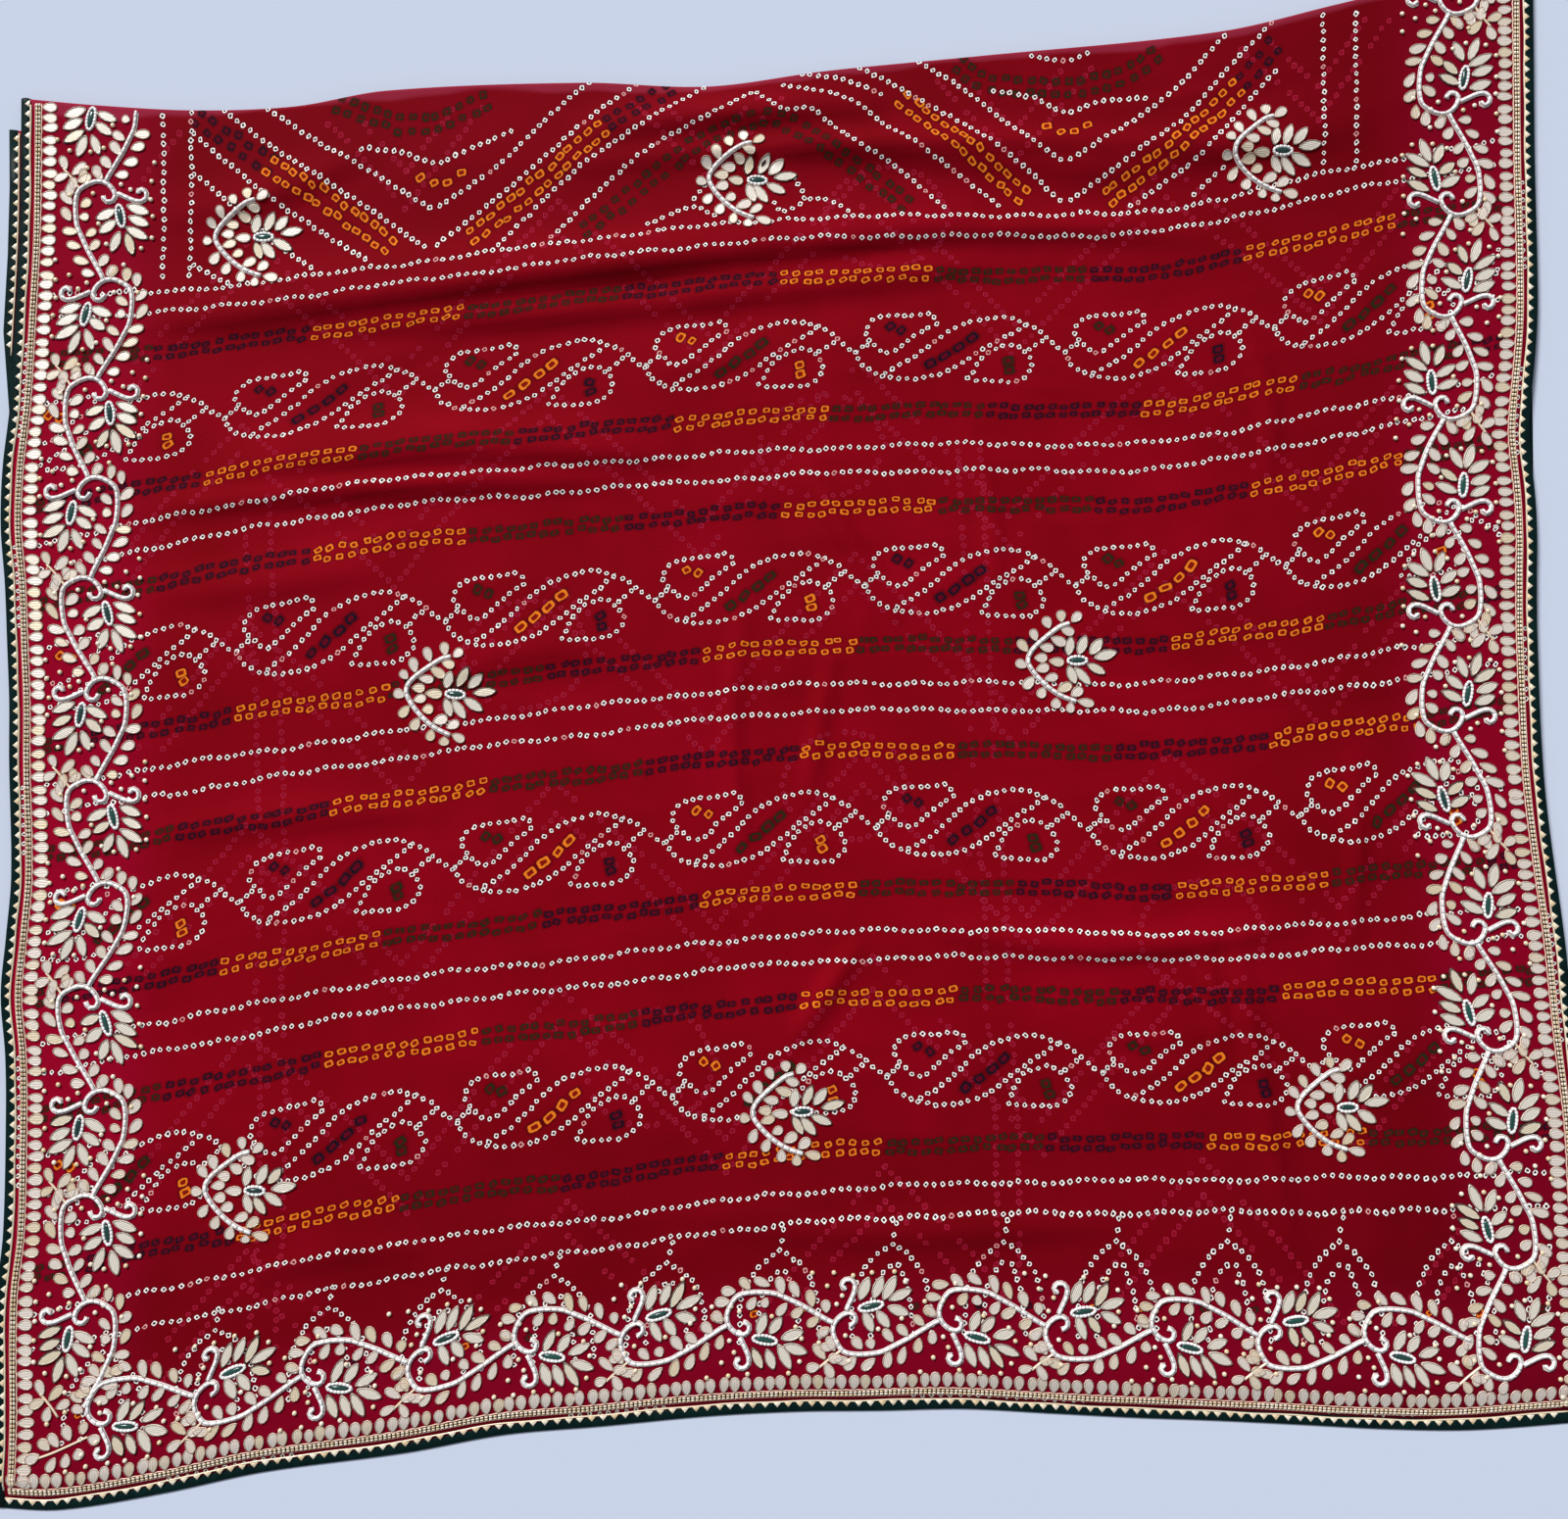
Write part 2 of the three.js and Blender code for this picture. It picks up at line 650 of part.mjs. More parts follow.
addPiece('folded_cloth', clothGeometry, crimson);
addPiece('piping_left', leftPipingGeometry, darkGreen);
addPiece('piping_right', rightPipingGeometry, darkGreen);
addPiece('piping_hem', hemPipingGeometry, darkGreen);
addPiece('gold_lace', laceGeometry, goldThread);
addPiece('bead_line', beadLineGeometry, goldBead);
for (const side of vineSides) addPiece(side.name, sewnOn(vineOutline(side)), paleGold);
for (const sprig of sprigs) addPiece(sprig.name, sewnOn(sprigOutline(sprig)), paleGold);

// The origin is the middle of the footprint, on the floor.
const box = new THREE.Box3().setFromObject(cloth);
const middle = box.getCenter(new THREE.Vector3());
cloth.position.set(-middle.x, -middle.y, -box.min.z);

export default cloth;
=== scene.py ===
import math

import bpy
import numpy as np
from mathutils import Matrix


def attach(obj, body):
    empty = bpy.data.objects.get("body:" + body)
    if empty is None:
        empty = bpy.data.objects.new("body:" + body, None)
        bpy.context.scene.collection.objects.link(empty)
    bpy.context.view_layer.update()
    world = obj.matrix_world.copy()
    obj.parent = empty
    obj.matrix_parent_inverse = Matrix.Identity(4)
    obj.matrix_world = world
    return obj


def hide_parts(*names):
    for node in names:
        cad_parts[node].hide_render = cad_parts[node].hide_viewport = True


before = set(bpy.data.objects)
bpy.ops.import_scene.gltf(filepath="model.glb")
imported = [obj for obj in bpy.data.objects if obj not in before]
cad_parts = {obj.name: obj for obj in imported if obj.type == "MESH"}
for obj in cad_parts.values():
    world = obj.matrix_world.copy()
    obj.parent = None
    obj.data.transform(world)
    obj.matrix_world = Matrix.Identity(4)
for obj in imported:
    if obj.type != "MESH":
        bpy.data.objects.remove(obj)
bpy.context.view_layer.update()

rng = np.random.default_rng(11)

# Camera first: above the cloth, leaning a little towards the top fold.
cameraPlan = {"place": (0.0068, -0.1004, 1.136), "lean": 3.4, "lens": 36.0, "sensor": 36.0}
cameraData = bpy.data.cameras.new("photo_view")
cameraData.lens = cameraPlan["lens"]
cameraData.sensor_width = cameraPlan["sensor"]
cameraData.sensor_fit = "HORIZONTAL"
cameraData.clip_start = 0.05
photoCamera = bpy.data.objects.new("photo_view", cameraData)
photoCamera.location = cameraPlan["place"]
photoCamera.rotation_euler = (math.radians(cameraPlan["lean"]), 0.0, 0.0)
bpy.context.scene.collection.objects.link(photoCamera)
bpy.context.scene.camera = photoCamera
print("camera set")

# The lie of the cloth. Millimetres on the floor, X across, Y from the hem to the top fold.
shift = np.array([6.84, -33.29, 0.0])  # from these tables to the middle of the cloth's box
cloth = {
    "width": 1120.0,
    "thickness": 0.7,
    "frontHeight": 5.9,
    "middleHeight": 3.3,
    "bottomHeight": 0.4,
    "hemHeight": 0.45,
    "inset": 6.0,  # of the sheet under the piping
    "hemSlope": (4, 26),  # rows where the front rises from the hem
    "lastRow": 1000.0,
    "foldSetback": 32.0,
    "bottomShort": 22.0,
    "foldBulge": 1.4,
    "foldGap": 0.5,
    "middleShare": 0.35,  # how far the middle layer follows the creases above it
    "leftTop": 491.0,
    "rightFoot": -466.0,
    "foldClear": 3.5,
    "slip": {"middle": 0.8, "middleFrom": 70, "bottom": 1.0},
    "peek": {"top": 466.0, "out": 11.0, "length": 166.0, "rows": (770, 860)},
    "columns": 186,
    "rowStep": 5.8,
}
leftEdge = [
    (-525, -556), (-461, -555.5), (-419, -557.2), (-378, -557.3), (-336, -553.7), (-253, -554.2), (-211, -556),
    (-169, -560.4), (-127, -557.8), (-84, -555.4), (0, -559.3), (43, -560.4), (85, -563.2), (128, -566.2),
    (171, -570.5), (213, -570.2), (256, -566.5), (300, -565), (394, -562.8), (491, -564.6),
]  # height, across
rightEdge = [
    (-466, 577), (-372, 574.5), (-316, 572), (-260, 570.5), (-202, 565), (-145, 561), (-123, 559), (-18, 548.2),
    (89, 546.2), (135, 547), (161, 548), (192, 547.5), (233, 544.5), (249, 545), (307, 551.5), (343, 553.6),
    (453, 554.4), (592, 557),
]
hemEdge = [
    (-560, -528), (-515, -529.5), (-445, -518.5), (-375, -503.7), (-276, -490.5), (-207, -478), (-138, -472),
    (-63, -465), (0, -461.8), (56, -461.2), (115, -460), (175, -463), (234, -466), (290, -468), (353, -471),
    (413, -474), (472, -474.5), (560, -468),
]  # across, height
foldEdge = [
    (-560, 491), (-506, 486), (-432, 482), (-358, 485), (-290, 497), (-145, 503), (-51, 500),
    (36, 512), (145, 523), (327, 542), (415, 563), (500, 584), (560, 592),
]
grainColumns = [-560, -420, -280, -140, 0, 140, 280, 420, 560]
grainRows = {
    150: [-399, -370, -343, -326, -308, -301, -299, -297, -293],
    333: [-208, -183, -158, -142, -126, -122, -125, -115, -104],
    516: [-22, -1, 20, 38, 53, 56, 56, 74, 96],
    699: [152, 180, 203, 215, 226, 231, 232, 257, 288],
    882: [341, 346, 362, 381, 396, 400, 405, 437, 462],
}
# Creases one by one: left end, middle, right end, then rise and the reach above and below.
creaseRules = {
    "depth": 1.3, "taper": 0.7, "swellLevel": 0.55, "swellWave": 0.45, "swellLength": 120,
    "onBorder": 0.18, "onField": 0.82, "borderEnds": (40, 130), "hemEnds": (8, 110),
}
creases = [
    (-480, 318, -150, 358, 150, 398, 8.5, 30, 9),
    (-330, 318, -130, 330, -10, 344, 4.5, 15, 8),
    (-90, 338, 40, 350, 160, 366, 4.0, 15, 9),
    (-420, 208, -250, 224, -70, 220, 7.0, 26, 8),
    (-160, 460, -60, 474, 75, 482, 6.0, 15, 8),
    (-470, 118, -360, 128, -280, 140, 3.0, 18, 10),
    (-10, 455, 130, 444, 270, 436, 3.5, 16, 9),
    (180, 425, 300, 448, 440, 470, 3.0, 22, 12),
    (-250, 60, -190, 76, -120, 80, 2.5, 18, 9),
    (-465, 178, -290, 198, -110, 202, 5.0, 14, 6),
    (10, 222, 46, 160, 84, 98, 4.6, 9, 4.5),
    (22, 196, 48, 140, 64, 90, 3.0, 5, 4),
    (-27, 120, -38, 10, -22, -92, 3.4, 7, 4.5),
    (36, 84, 22, 10, 14, -40, 3.0, 6, 4.5),
    (4, -204, 28, -168, 54, -128, 4.2, 5, 9),
    (322, -124, 336, -226, 360, -345, 4.4, 9, 4),
    (298, -135, 308, -175, 314, -216, 3.0, 5, 4),
    (409, 10, 410, -60, 404, -140, 3.4, 7, 4),
    (90, -118, 190, -134, 372, -120, 4.0, 14, 7),
    (-196, 434, 10, 452, 405, 447, 4.0, 13, 6),
    (0, 370, 134, 388, 320, 382, 4.0, 16, 7),
    (-380, -368, -320, -352, -250, -346, 2.4, 12, 6),
    (-455, 398, -380, 414, -300, 452, 3.0, 16, 7),
    (330, 330, 352, 270, 350, 200, 3.2, 7, 4.5),
    (130, 250, 150, 180, 148, 110, 2.8, 6, 4),
    (-470, -60, -380, -46, -240, -38, 2.6, 14, 7),
    (-60, -330, 90, -338, 250, -326, 2.6, 14, 7),
]
# Swells right across: woven row, rise, reach, drift.
swells = [
    (90, 1.2, 45, 0.6), (235, 2.4, 42, 2.2), (400, 2.0, 50, 4.0),
    (590, 2.6, 46, 5.1), (770, 2.8, 38, 1.3), (940, 2.2, 36, 3.1),
]


def along(keys, values, at):
    # Smooth curve through a table, flat past its ends; values may have a column for each point.
    keys = np.asarray(keys, float)
    values = np.asarray(values, float)
    at = np.clip(np.asarray(at, float), keys[0], keys[-1])
    i = np.clip(np.searchsorted(keys, at, side="right") - 1, 0, len(keys) - 2)
    before = np.maximum(i - 1, 0)
    after = np.minimum(i + 2, len(keys) - 1)

    def pick(k):
        return values[k] if values.ndim == 1 else np.take_along_axis(values, k[None], 0)[0]

    span = keys[i + 1] - keys[i]
    t = (at - keys[i]) / span
    slopeA = (pick(i + 1) - pick(before)) / (keys[i + 1] - keys[before]) * span
    slopeB = (pick(after) - pick(i)) / (keys[after] - keys[i]) * span
    t2, t3 = t * t, t * t * t
    return (
        (2 * t3 - 3 * t2 + 1) * pick(i)
        + (t3 - 2 * t2 + t) * slopeA
        + (3 * t2 - 2 * t3) * pick(i + 1)
        + (t3 - t2) * slopeB
    )


def edge(table, at):
    keys, values = zip(*table)
    return along(keys, values, at)


def smooth(low, high, value):
    t = np.clip((value - low) / (high - low), 0, 1)
    return t * t * (3 - 2 * t)


def rowY(x, row):
    # Height on the floor of a woven row at x.
    x, row = np.broadcast_arrays(np.asarray(x, float), np.asarray(row, float))
    levels = [edge(hemEdge, x)]
    levels += [along(grainColumns, line, x) for line in grainRows.values()]
    levels.append(edge(foldEdge, x))
    return along([0, *grainRows, cloth["lastRow"]], np.stack(levels), row)


def frontPlan(across, row):
    y = rowY(across - cloth["width"] / 2, row)
    left = edge(leftEdge, y)
    return left + (edge(rightEdge, y) - left) * across / cloth["width"], y


def lift(across, row, x, y):
    # How far creases and swells raise the front layer. The borders lie nearly flat.
    rules = creaseRules
    z = np.zeros(np.broadcast(across, row).shape)
    for x0, y0, x1, y1, x2, y2, rise, above, below in creases:
        length = math.hypot(x2 - x0, y2 - y0)
        ax, ay = (x2 - x0) / length, (y2 - y0) / length
        t = np.clip(((x - x0) * ax + (y - y0) * ay) / length, 0, 1)
        bend = (y1 - y0) * ax - (x1 - x0) * ay
        d = (y - y0) * ax - (x - x0) * ay - 4 * bend * t * (1 - t)
        reach = np.where(d > 0, above, below)
        z = z + rules["depth"] * rise * np.sin(np.pi * t) ** rules["taper"] * np.exp(-((d / reach) ** 2))
    for middle, rise, reach, drift in swells:
        wave = rules["swellLevel"] + rules["swellWave"] * np.sin(x / rules["swellLength"] + drift)
        z = z + rise * wave * np.exp(-(((row - middle) / reach) ** 2))
    side = np.minimum(across, cloth["width"] - across)
    share = rules["onBorder"] + rules["onField"] * smooth(*rules["borderEnds"], side)
    return z * share * smooth(*rules["hemEnds"], row)


def frontHeight(across, row, x, y):
    rest = cloth["hemHeight"] + (cloth["frontHeight"] - cloth["hemHeight"]) * smooth(*cloth["hemSlope"], row)
    return rest + lift(across, row, x, y)


def middleShift(row):
    # The middle layer stays hidden under the front one.
    return cloth["slip"]["middle"] * smooth(0, cloth["slip"]["middleFrom"], cloth["lastRow"] - row)


def bottomShift(row):
    # The bottom layer peeks out on the left below the top fold.
    slip, peek = cloth["slip"]["bottom"], cloth["peek"]
    return slip - (slip + peek["out"]) * smooth(*peek["rows"], row)


frontRows = np.unique(np.round(np.concatenate([
    [14, 20, 26, 33], np.arange(40, 996, cloth["rowStep"]), list(grainRows), [997],
]), 1))
foldTurns = np.radians([75, 45, 15, -15, -45, -75])[:, None]
middleRows = np.array([992, 975, 945, 900, 850, 800, 750, 690, 640, 590, 540, 470, 400, 320, 240, 160, 110, 66])
bottomRows = np.array([66, 120, 200, 300, 400, 500, 600, 700, 790, 860, 910, 950])


def clothPath(across, firstRow):
    # The middle of the cloth from the hem over the top fold, back under, and forward on the floor.
    across = np.asarray(across, float)[None, :]
    rows = np.concatenate([[firstRow], frontRows[frontRows > firstRow + 2]])[:, None]
    x, y = frontPlan(across, rows)
    blocks = [np.stack([x, y, frontHeight(across, rows, x, y)], -1)]
    x, y = frontPlan(across, np.array([[cloth["lastRow"]]]))
    rise = lift(across, np.array([[cloth["lastRow"]]]), x, y)
    upper, lower = cloth["frontHeight"] + rise, cloth["middleHeight"] + cloth["middleShare"] * rise
    blocks.append(np.stack(np.broadcast_arrays(
        x,
        y - cloth["foldGap"] - cloth["foldBulge"] * (1 - np.cos(foldTurns)),
        (upper + lower) / 2 + (upper - lower) / 2 * np.sin(foldTurns),
    ), -1))
    rows = middleRows[:, None].astype(float)
    x, y = frontPlan(across, rows)
    rise = cloth["middleShare"] * lift(across, rows, x, y) * smooth(60, 150, rows)
    blocks.append(np.stack([x + middleShift(rows), y, cloth["middleHeight"] + rise], -1))
    x, y = frontPlan(across, np.array([[cloth["foldSetback"]]]))
    reach = (cloth["middleHeight"] - cloth["bottomHeight"]) / 2
    blocks.append(np.stack(np.broadcast_arrays(
        x + cloth["slip"]["bottom"],
        y + cloth["foldGap"] + reach - reach * np.cos(foldTurns),
        (cloth["middleHeight"] + cloth["bottomHeight"]) / 2 + reach * np.sin(foldTurns),
    ), -1))
    rows = bottomRows[:, None].astype(float)
    x, y = frontPlan(across, rows)
    blocks.append(np.stack([x + bottomShift(rows), y, np.full(x.shape, cloth["bottomHeight"])], -1))
    x, y = frontPlan(across, np.array([[cloth["lastRow"]]]))
    end = np.stack(
        [x + bottomShift(cloth["lastRow"]), y - cloth["bottomShort"], np.full(x.shape, cloth["bottomHeight"])],
        -1,
    )
    blocks.append(end)
    return np.concatenate(blocks)


def offsetPath(path, offset):
    # Points off the middle of the cloth, square to the path; offset may change across.
    run = np.zeros(path.shape)
    step = np.diff(path, axis=0)[..., 1:]
    step /= np.linalg.norm(step, axis=-1, keepdims=True)
    run[1:-1, :, 1:] = step[:-1] + step[1:]
    run[0, :, 1:] = (1, 0)
    run[-1, :, 1:] = (1, 0)
    run /= np.linalg.norm(run, axis=-1, keepdims=True)
    moved = path.copy()
    moved[..., 1] -= run[..., 2] * offset
    moved[..., 2] += run[..., 1] * offset
    return moved


def closedSheet(face, back):
    # Quads of a closed sheet from two grids of points, rows by columns, face side up.
    rows, columns = face.shape[:2]
    index = np.arange(rows * columns).reshape(rows, columns)
    quads = np.stack([index[:-1, :-1], index[:-1, 1:], index[1:, 1:], index[1:, :-1]], -1).reshape(-1, 4)
    other = quads[:, ::-1] + rows * columns
    rim = np.concatenate([index[0, :-1], index[:-1, -1], index[-1, :0:-1], index[:0:-1, 0]])
    nextRim = np.roll(rim, -1)
    around = np.stack([nextRim, rim, rim + rows * columns, nextRim + rows * columns], -1)
    points = np.concatenate([face.reshape(-1, 3), back.reshape(-1, 3)])
    return points, np.concatenate([quads, other, around])


def newPiece(name, points, faces, materials):
    # A mesh object at the origin from millimetres on the floor plan.
    mesh = bpy.data.meshes.new(name)
    mesh.from_pydata(((points + shift) * 0.001).tolist(), [], faces.tolist())
    for material in materials:
        mesh.materials.append(material)
    mesh.polygons.foreach_set("use_smooth", np.ones(len(mesh.polygons), bool))
    piece = bpy.data.objects.new(name, mesh)
    bpy.context.scene.collection.objects.link(piece)
    return piece


# Materials.
def hexColour(code):
    # sRGB hex to the linear colour that a shader takes.
    channels = [int(code[i:i + 2], 16) / 255 for i in (1, 3, 5)]
    linear = [c / 12.92 if c <= 0.04045 else ((c + 0.055) / 1.055) ** 2.4 for c in channels]
    return (*linear, 1.0)


def addNode(tree, kind, settings=None, links=None):
    # One node, its settings and what feeds it: a socket, or a node for its first output.
    # A key is a property, or an input by name or place.
    node = tree.nodes.new(kind if kind.startswith("NodeGroup") else "ShaderNode" + kind)
    for key, value in (settings or {}).items():
        if isinstance(key, str) and hasattr(node, key):
            setattr(node, key, value)
        else:
            node.inputs[key].default_value = value
    for key, source in (links or {}).items():
        tree.links.new(getattr(source, "outputs", [source])[0], node.inputs[key])
    return node


def newMaterial(name):
    material = bpy.data.materials.new(name)
    material.use_nodes = True
    material.node_tree.nodes.clear()
    return material, material.node_tree


def setBands(ramp, colours):
    # Even bands of colour from end to end.
    band = ramp.color_ramp
    band.interpolation = "CONSTANT"
    while len(band.elements) < len(colours):
        band.elements.new(0.5)
    for k, colour in enumerate(colours):
        band.elements[k].position = k / len(colours)
        band.elements[k].color = hexColour(colour)


# The two lists go by the number of the dye: white, orange, green, navy, ghost and faint are 1 to 6.
dyeColours = {
    "ground": "#7A000C",
    "groundLight": "#8E0016",
    "border": "#900022",
    "ring": ["#8A0016", "#FFFBF4", "#E67A1E", "#1C2612", "#180C1C", "#A01E3E", "#E0A8A4", "#8A0016"],
    "hole": ["#8A0016", "#38040E", "#7E1408", "#5E0610", "#5A0418", "#84081C", "#7A0818", "#8A0016"],
}
dotSlots = 6

# One dot of dye: a rough hollow square where the cloth was tied, at a place and size from the mesh.
dyeDot = bpy.data.node_groups.new("dyeDot", "ShaderNodeTree")
for socketName, socketKind, side in (
    ("Point", "NodeSocketVector", "INPUT"),
    ("Place", "NodeSocketVector", "INPUT"),
    ("Size", "NodeSocketVector", "INPUT"),
    ("Under", "NodeSocketColor", "INPUT"),
    ("Colour", "NodeSocketColor", "OUTPUT"),
):
    dyeDot.interface.new_socket(socketName, in_out=side, socket_type=socketKind)
given = addNode(dyeDot, "NodeGroupInput")
result = addNode(dyeDot, "NodeGroupOutput")
placeParts = addNode(dyeDot, "SeparateXYZ", {}, {0: given.outputs["Place"]})
sizeParts = addNode(dyeDot, "SeparateXYZ", {}, {0: given.outputs["Size"]})
away = addNode(
    dyeDot, "VectorMath", {"operation": "SUBTRACT"}, {0: given.outputs["Point"], 1: given.outputs["Place"]},
)
turned = addNode(
    dyeDot, "VectorRotate", {"rotation_type": "Z_AXIS", "invert": True},
    {"Vector": away, "Angle": placeParts.outputs[2]},
)
scaled = addNode(dyeDot, "VectorMath", {"operation": "DIVIDE"}, {0: turned, 1: given.outputs["Size"]})
bySides = addNode(dyeDot, "SeparateXYZ", {}, {0: scaled})
# Distance by fourth powers, so that a dot is a square with round corners.
powX, powY = bySides.outputs[0], bySides.outputs[1]
for _ in range(2):
    powX = addNode(dyeDot, "Math", {"operation": "MULTIPLY"}, {0: powX, 1: powX})
    powY = addNode(dyeDot, "Math", {"operation": "MULTIPLY"}, {0: powY, 1: powY})
both = addNode(dyeDot, "Math", {"operation": "ADD"}, {0: powX, 1: powY})
far = addNode(dyeDot, "Math", {"operation": "POWER", 1: 0.25}, {0: both})
inside = addNode(
    dyeDot, "MapRange", {"interpolation_type": "SMOOTHSTEP", "From Min": 1.08, "From Max": 0.94},
    {"Value": far},
)
whiteOnly = addNode(dyeDot, "Math", {"operation": "COMPARE", 1: 1.0, 2: 0.1}, {0: sizeParts.outputs[2]})
ghostOnly = addNode(dyeDot, "Math", {"operation": "COMPARE", 1: 5.0, 2: 0.1}, {0: sizeParts.outputs[2]})
thinner = addNode(dyeDot, "Math", {"operation": "MULTIPLY_ADD", 1: -0.16}, {0: ghostOnly, 2: far})
thicker = addNode(dyeDot, "Math", {"operation": "MULTIPLY_ADD", 1: 0.02}, {0: whiteOnly, 2: thinner})
hollow = addNode(
    dyeDot, "MapRange", {"interpolation_type": "SMOOTHSTEP", "From Min": 0.66, "From Max": 0.5},
    {"Value": thicker},
)
bands = len(dyeColours["ring"])
dyeNumber = addNode(
    dyeDot, "Math", {"operation": "MULTIPLY_ADD", 1: 1 / bands, 2: 0.5 / bands}, {0: sizeParts.outputs[2]},
)
ringRamp = addNode(dyeDot, "ValToRGB", {}, {0: dyeNumber})
setBands(ringRamp, dyeColours["ring"])
holeRamp = addNode(dyeDot, "ValToRGB", {}, {0: dyeNumber})
setBands(holeRamp, dyeColours["hole"])
dotColour = addNode(dyeDot, "Mix", {"data_type": "RGBA"}, {0: hollow, 6: ringRamp, 7: holeRamp})
used = addNode(dyeDot, "Math", {"operation": "GREATER_THAN", 1: 0.5}, {0: sizeParts.outputs[2]})
cover = addNode(dyeDot, "Math", {"operation": "MULTIPLY"}, {0: inside, 1: used})
# Painted shade: the cloth round each dot of the strong dyes is darkened in a ring.
haloShadeReach = addNode(
    dyeDot, "MapRange",
    {"interpolation_type": "SMOOTHSTEP", "From Min": 1.75, "From Max": 1.05, "To Max": 0.55}, {"Value": far},
)
strongDye = addNode(dyeDot, "Math", {"operation": "LESS_THAN", 1: 4.5}, {0: sizeParts.outputs[2]})
haloShadeUsed = addNode(dyeDot, "Math", {"operation": "MULTIPLY"}, {0: strongDye, 1: used})
haloShadeHere = addNode(dyeDot, "Math", {"operation": "MULTIPLY"}, {0: haloShadeReach, 1: haloShadeUsed})
haloShadePainted = addNode(
    dyeDot, "Mix", {"data_type": "RGBA", 7: hexColour("#3A0008")}, {0: haloShadeHere, 6: given.outputs["Under"]},
)
painted = addNode(
    dyeDot, "Mix", {"data_type": "RGBA"}, {0: cover, 6: haloShadePainted.outputs[2], 7: dotColour.outputs[2]},
)
dyeDot.links.new(painted.outputs[2], result.inputs["Colour"])

# Georgette: a crinkled sheer weave of twisted yarns, so the red is deep, dry and a little grainy.
georgette, tree = newMaterial("georgette_bandhani_dyed")
flatMap = addNode(tree, "UVMap", {"uv_map": "flat"})
flatMm = addNode(tree, "VectorMath", {"operation": "SCALE", "Scale": 1000.0}, {0: flatMap})
wobble = addNode(tree, "TexNoise", {"Scale": 0.35, "Detail": 1.0}, {"Vector": flatMm})
wobbleMid = addNode(
    tree, "VectorMath", {"operation": "SUBTRACT", 1: (0.5, 0.5, 0.5)}, {0: wobble.outputs["Color"]},
)
wobbled = addNode(
    tree, "VectorMath", {"operation": "MULTIPLY_ADD", 1: (1.5, 1.5, 0.0)}, {0: wobbleMid, 2: flatMm},
)
patches = addNode(tree, "TexNoise", {"Scale": 0.011, "Detail": 3.0, "Roughness": 0.6}, {"Vector": flatMm})
patchRange = addNode(tree, "MapRange", {"From Min": 0.25, "From Max": 0.8}, {"Value": patches})
yarns = addNode(tree, "TexNoise", {"Scale": 1.1, "Detail": 2.0}, {"Vector": flatMm})
groundColour = addNode(
    tree, "Mix",
    {"data_type": "RGBA", 6: hexColour(dyeColours["ground"]), 7: hexColour(dyeColours["groundLight"])},
    {0: patchRange},
)
grain = addNode(
    tree, "MapRange", {"From Min": 0.3, "From Max": 0.7, "To Min": 0.86, "To Max": 1.12}, {"Value": yarns},
)
grained = addNode(tree, "VectorMath", {"operation": "SCALE"}, {0: groundColour.outputs[2], "Scale": grain})
flatParts = addNode(tree, "SeparateXYZ", {}, {0: flatMm})
# Painted light and shade: the red is made darker towards the hem, the top fold and the right side.
lightFalloff = None
for axis, start, stop, first, last in (
    (1, 60, 330, 0.7, 1.0), (1, 780, 960, 1.0, 0.82), (0, 800, 1050, 1.0, 0.8),
):
    tone = addNode(
        tree, "MapRange",
        {"interpolation_type": "SMOOTHSTEP", "From Min": start, "From Max": stop, 3: first, 4: last},
        {"Value": flatParts.outputs[axis]},
    )
    lightFalloff = addNode(tree, "Math", {"operation": "MULTIPLY"}, {0: lightFalloff, 1: tone}) if lightFalloff is not None else tone
fromSide = addNode(tree, "Math", {"operation": "PINGPONG", 1: cloth["width"] / 2}, {0: flatParts})
nearSide = addNode(
    tree, "MapRange", {"interpolation_type": "SMOOTHSTEP", "From Min": 120.0, "From Max": 70.0},
    {"Value": fromSide},
)
nearHem = addNode(
    tree, "MapRange", {"interpolation_type": "SMOOTHSTEP", "From Min": 105.0, "From Max": 60.0},
    {"Value": flatParts.outputs[1]},
)
nearEdge = addNode(tree, "Math", {"operation": "MAXIMUM"}, {0: nearSide, 1: nearHem})
edgeDye = addNode(
    tree, "Mix", {"data_type": "RGBA", 7: hexColour(dyeColours["border"])}, {0: nearEdge, 6: grained},
)
falloffShaded = addNode(tree, "VectorMath", {"operation": "SCALE"}, {0: edgeDye.outputs[2], "Scale": lightFalloff})
foldWave = addNode(tree, "TexNoise", {"Scale": 0.008, "Detail": 2.0}, {"Vector": flatMm})
foldPlace = addNode(
    tree, "Math", {"operation": "MULTIPLY_ADD", 1: 26.0}, {0: foldWave, 2: flatParts.outputs[1]},
)
foldEdgeGlow = addNode(
    tree, "MapRange",
    {"interpolation_type": "SMOOTHSTEP", "From Min": 1006.0, "From Max": 1010.0, "To Max": 0.3},
    {"Value": foldPlace},
)
pastFold = addNode(tree, "Math", {"operation": "LESS_THAN", 1: 1010.0}, {0: flatParts.outputs[1]})
glowHere = addNode(tree, "Math", {"operation": "MULTIPLY"}, {0: foldEdgeGlow, 1: pastFold})
under = addNode(tree, "Mix", {"data_type": "RGBA", 7: hexColour("#B0405C")}, {0: glowHere, 6: falloffShaded}).outputs[2]
for slotNumber in range(dotSlots - 1, -1, -1):
    place = addNode(tree, "Attribute", {"attribute_name": f"dotPlace{slotNumber}"})
    size = addNode(tree, "Attribute", {"attribute_name": f"dotSize{slotNumber}"})
    under = addNode(
        tree, "Group", {"node_tree": dyeDot},
        {"Point": wobbled, "Place": place.outputs["Vector"], "Size": size.outputs["Vector"], "Under": under},
    ).outputs[0]
wrinkleWay = addNode(
    tree, "Mapping", {"Rotation": (0.0, 0.0, 0.12), "Scale": (0.006, 0.022, 0.02)}, {"Vector": flatMm},
)
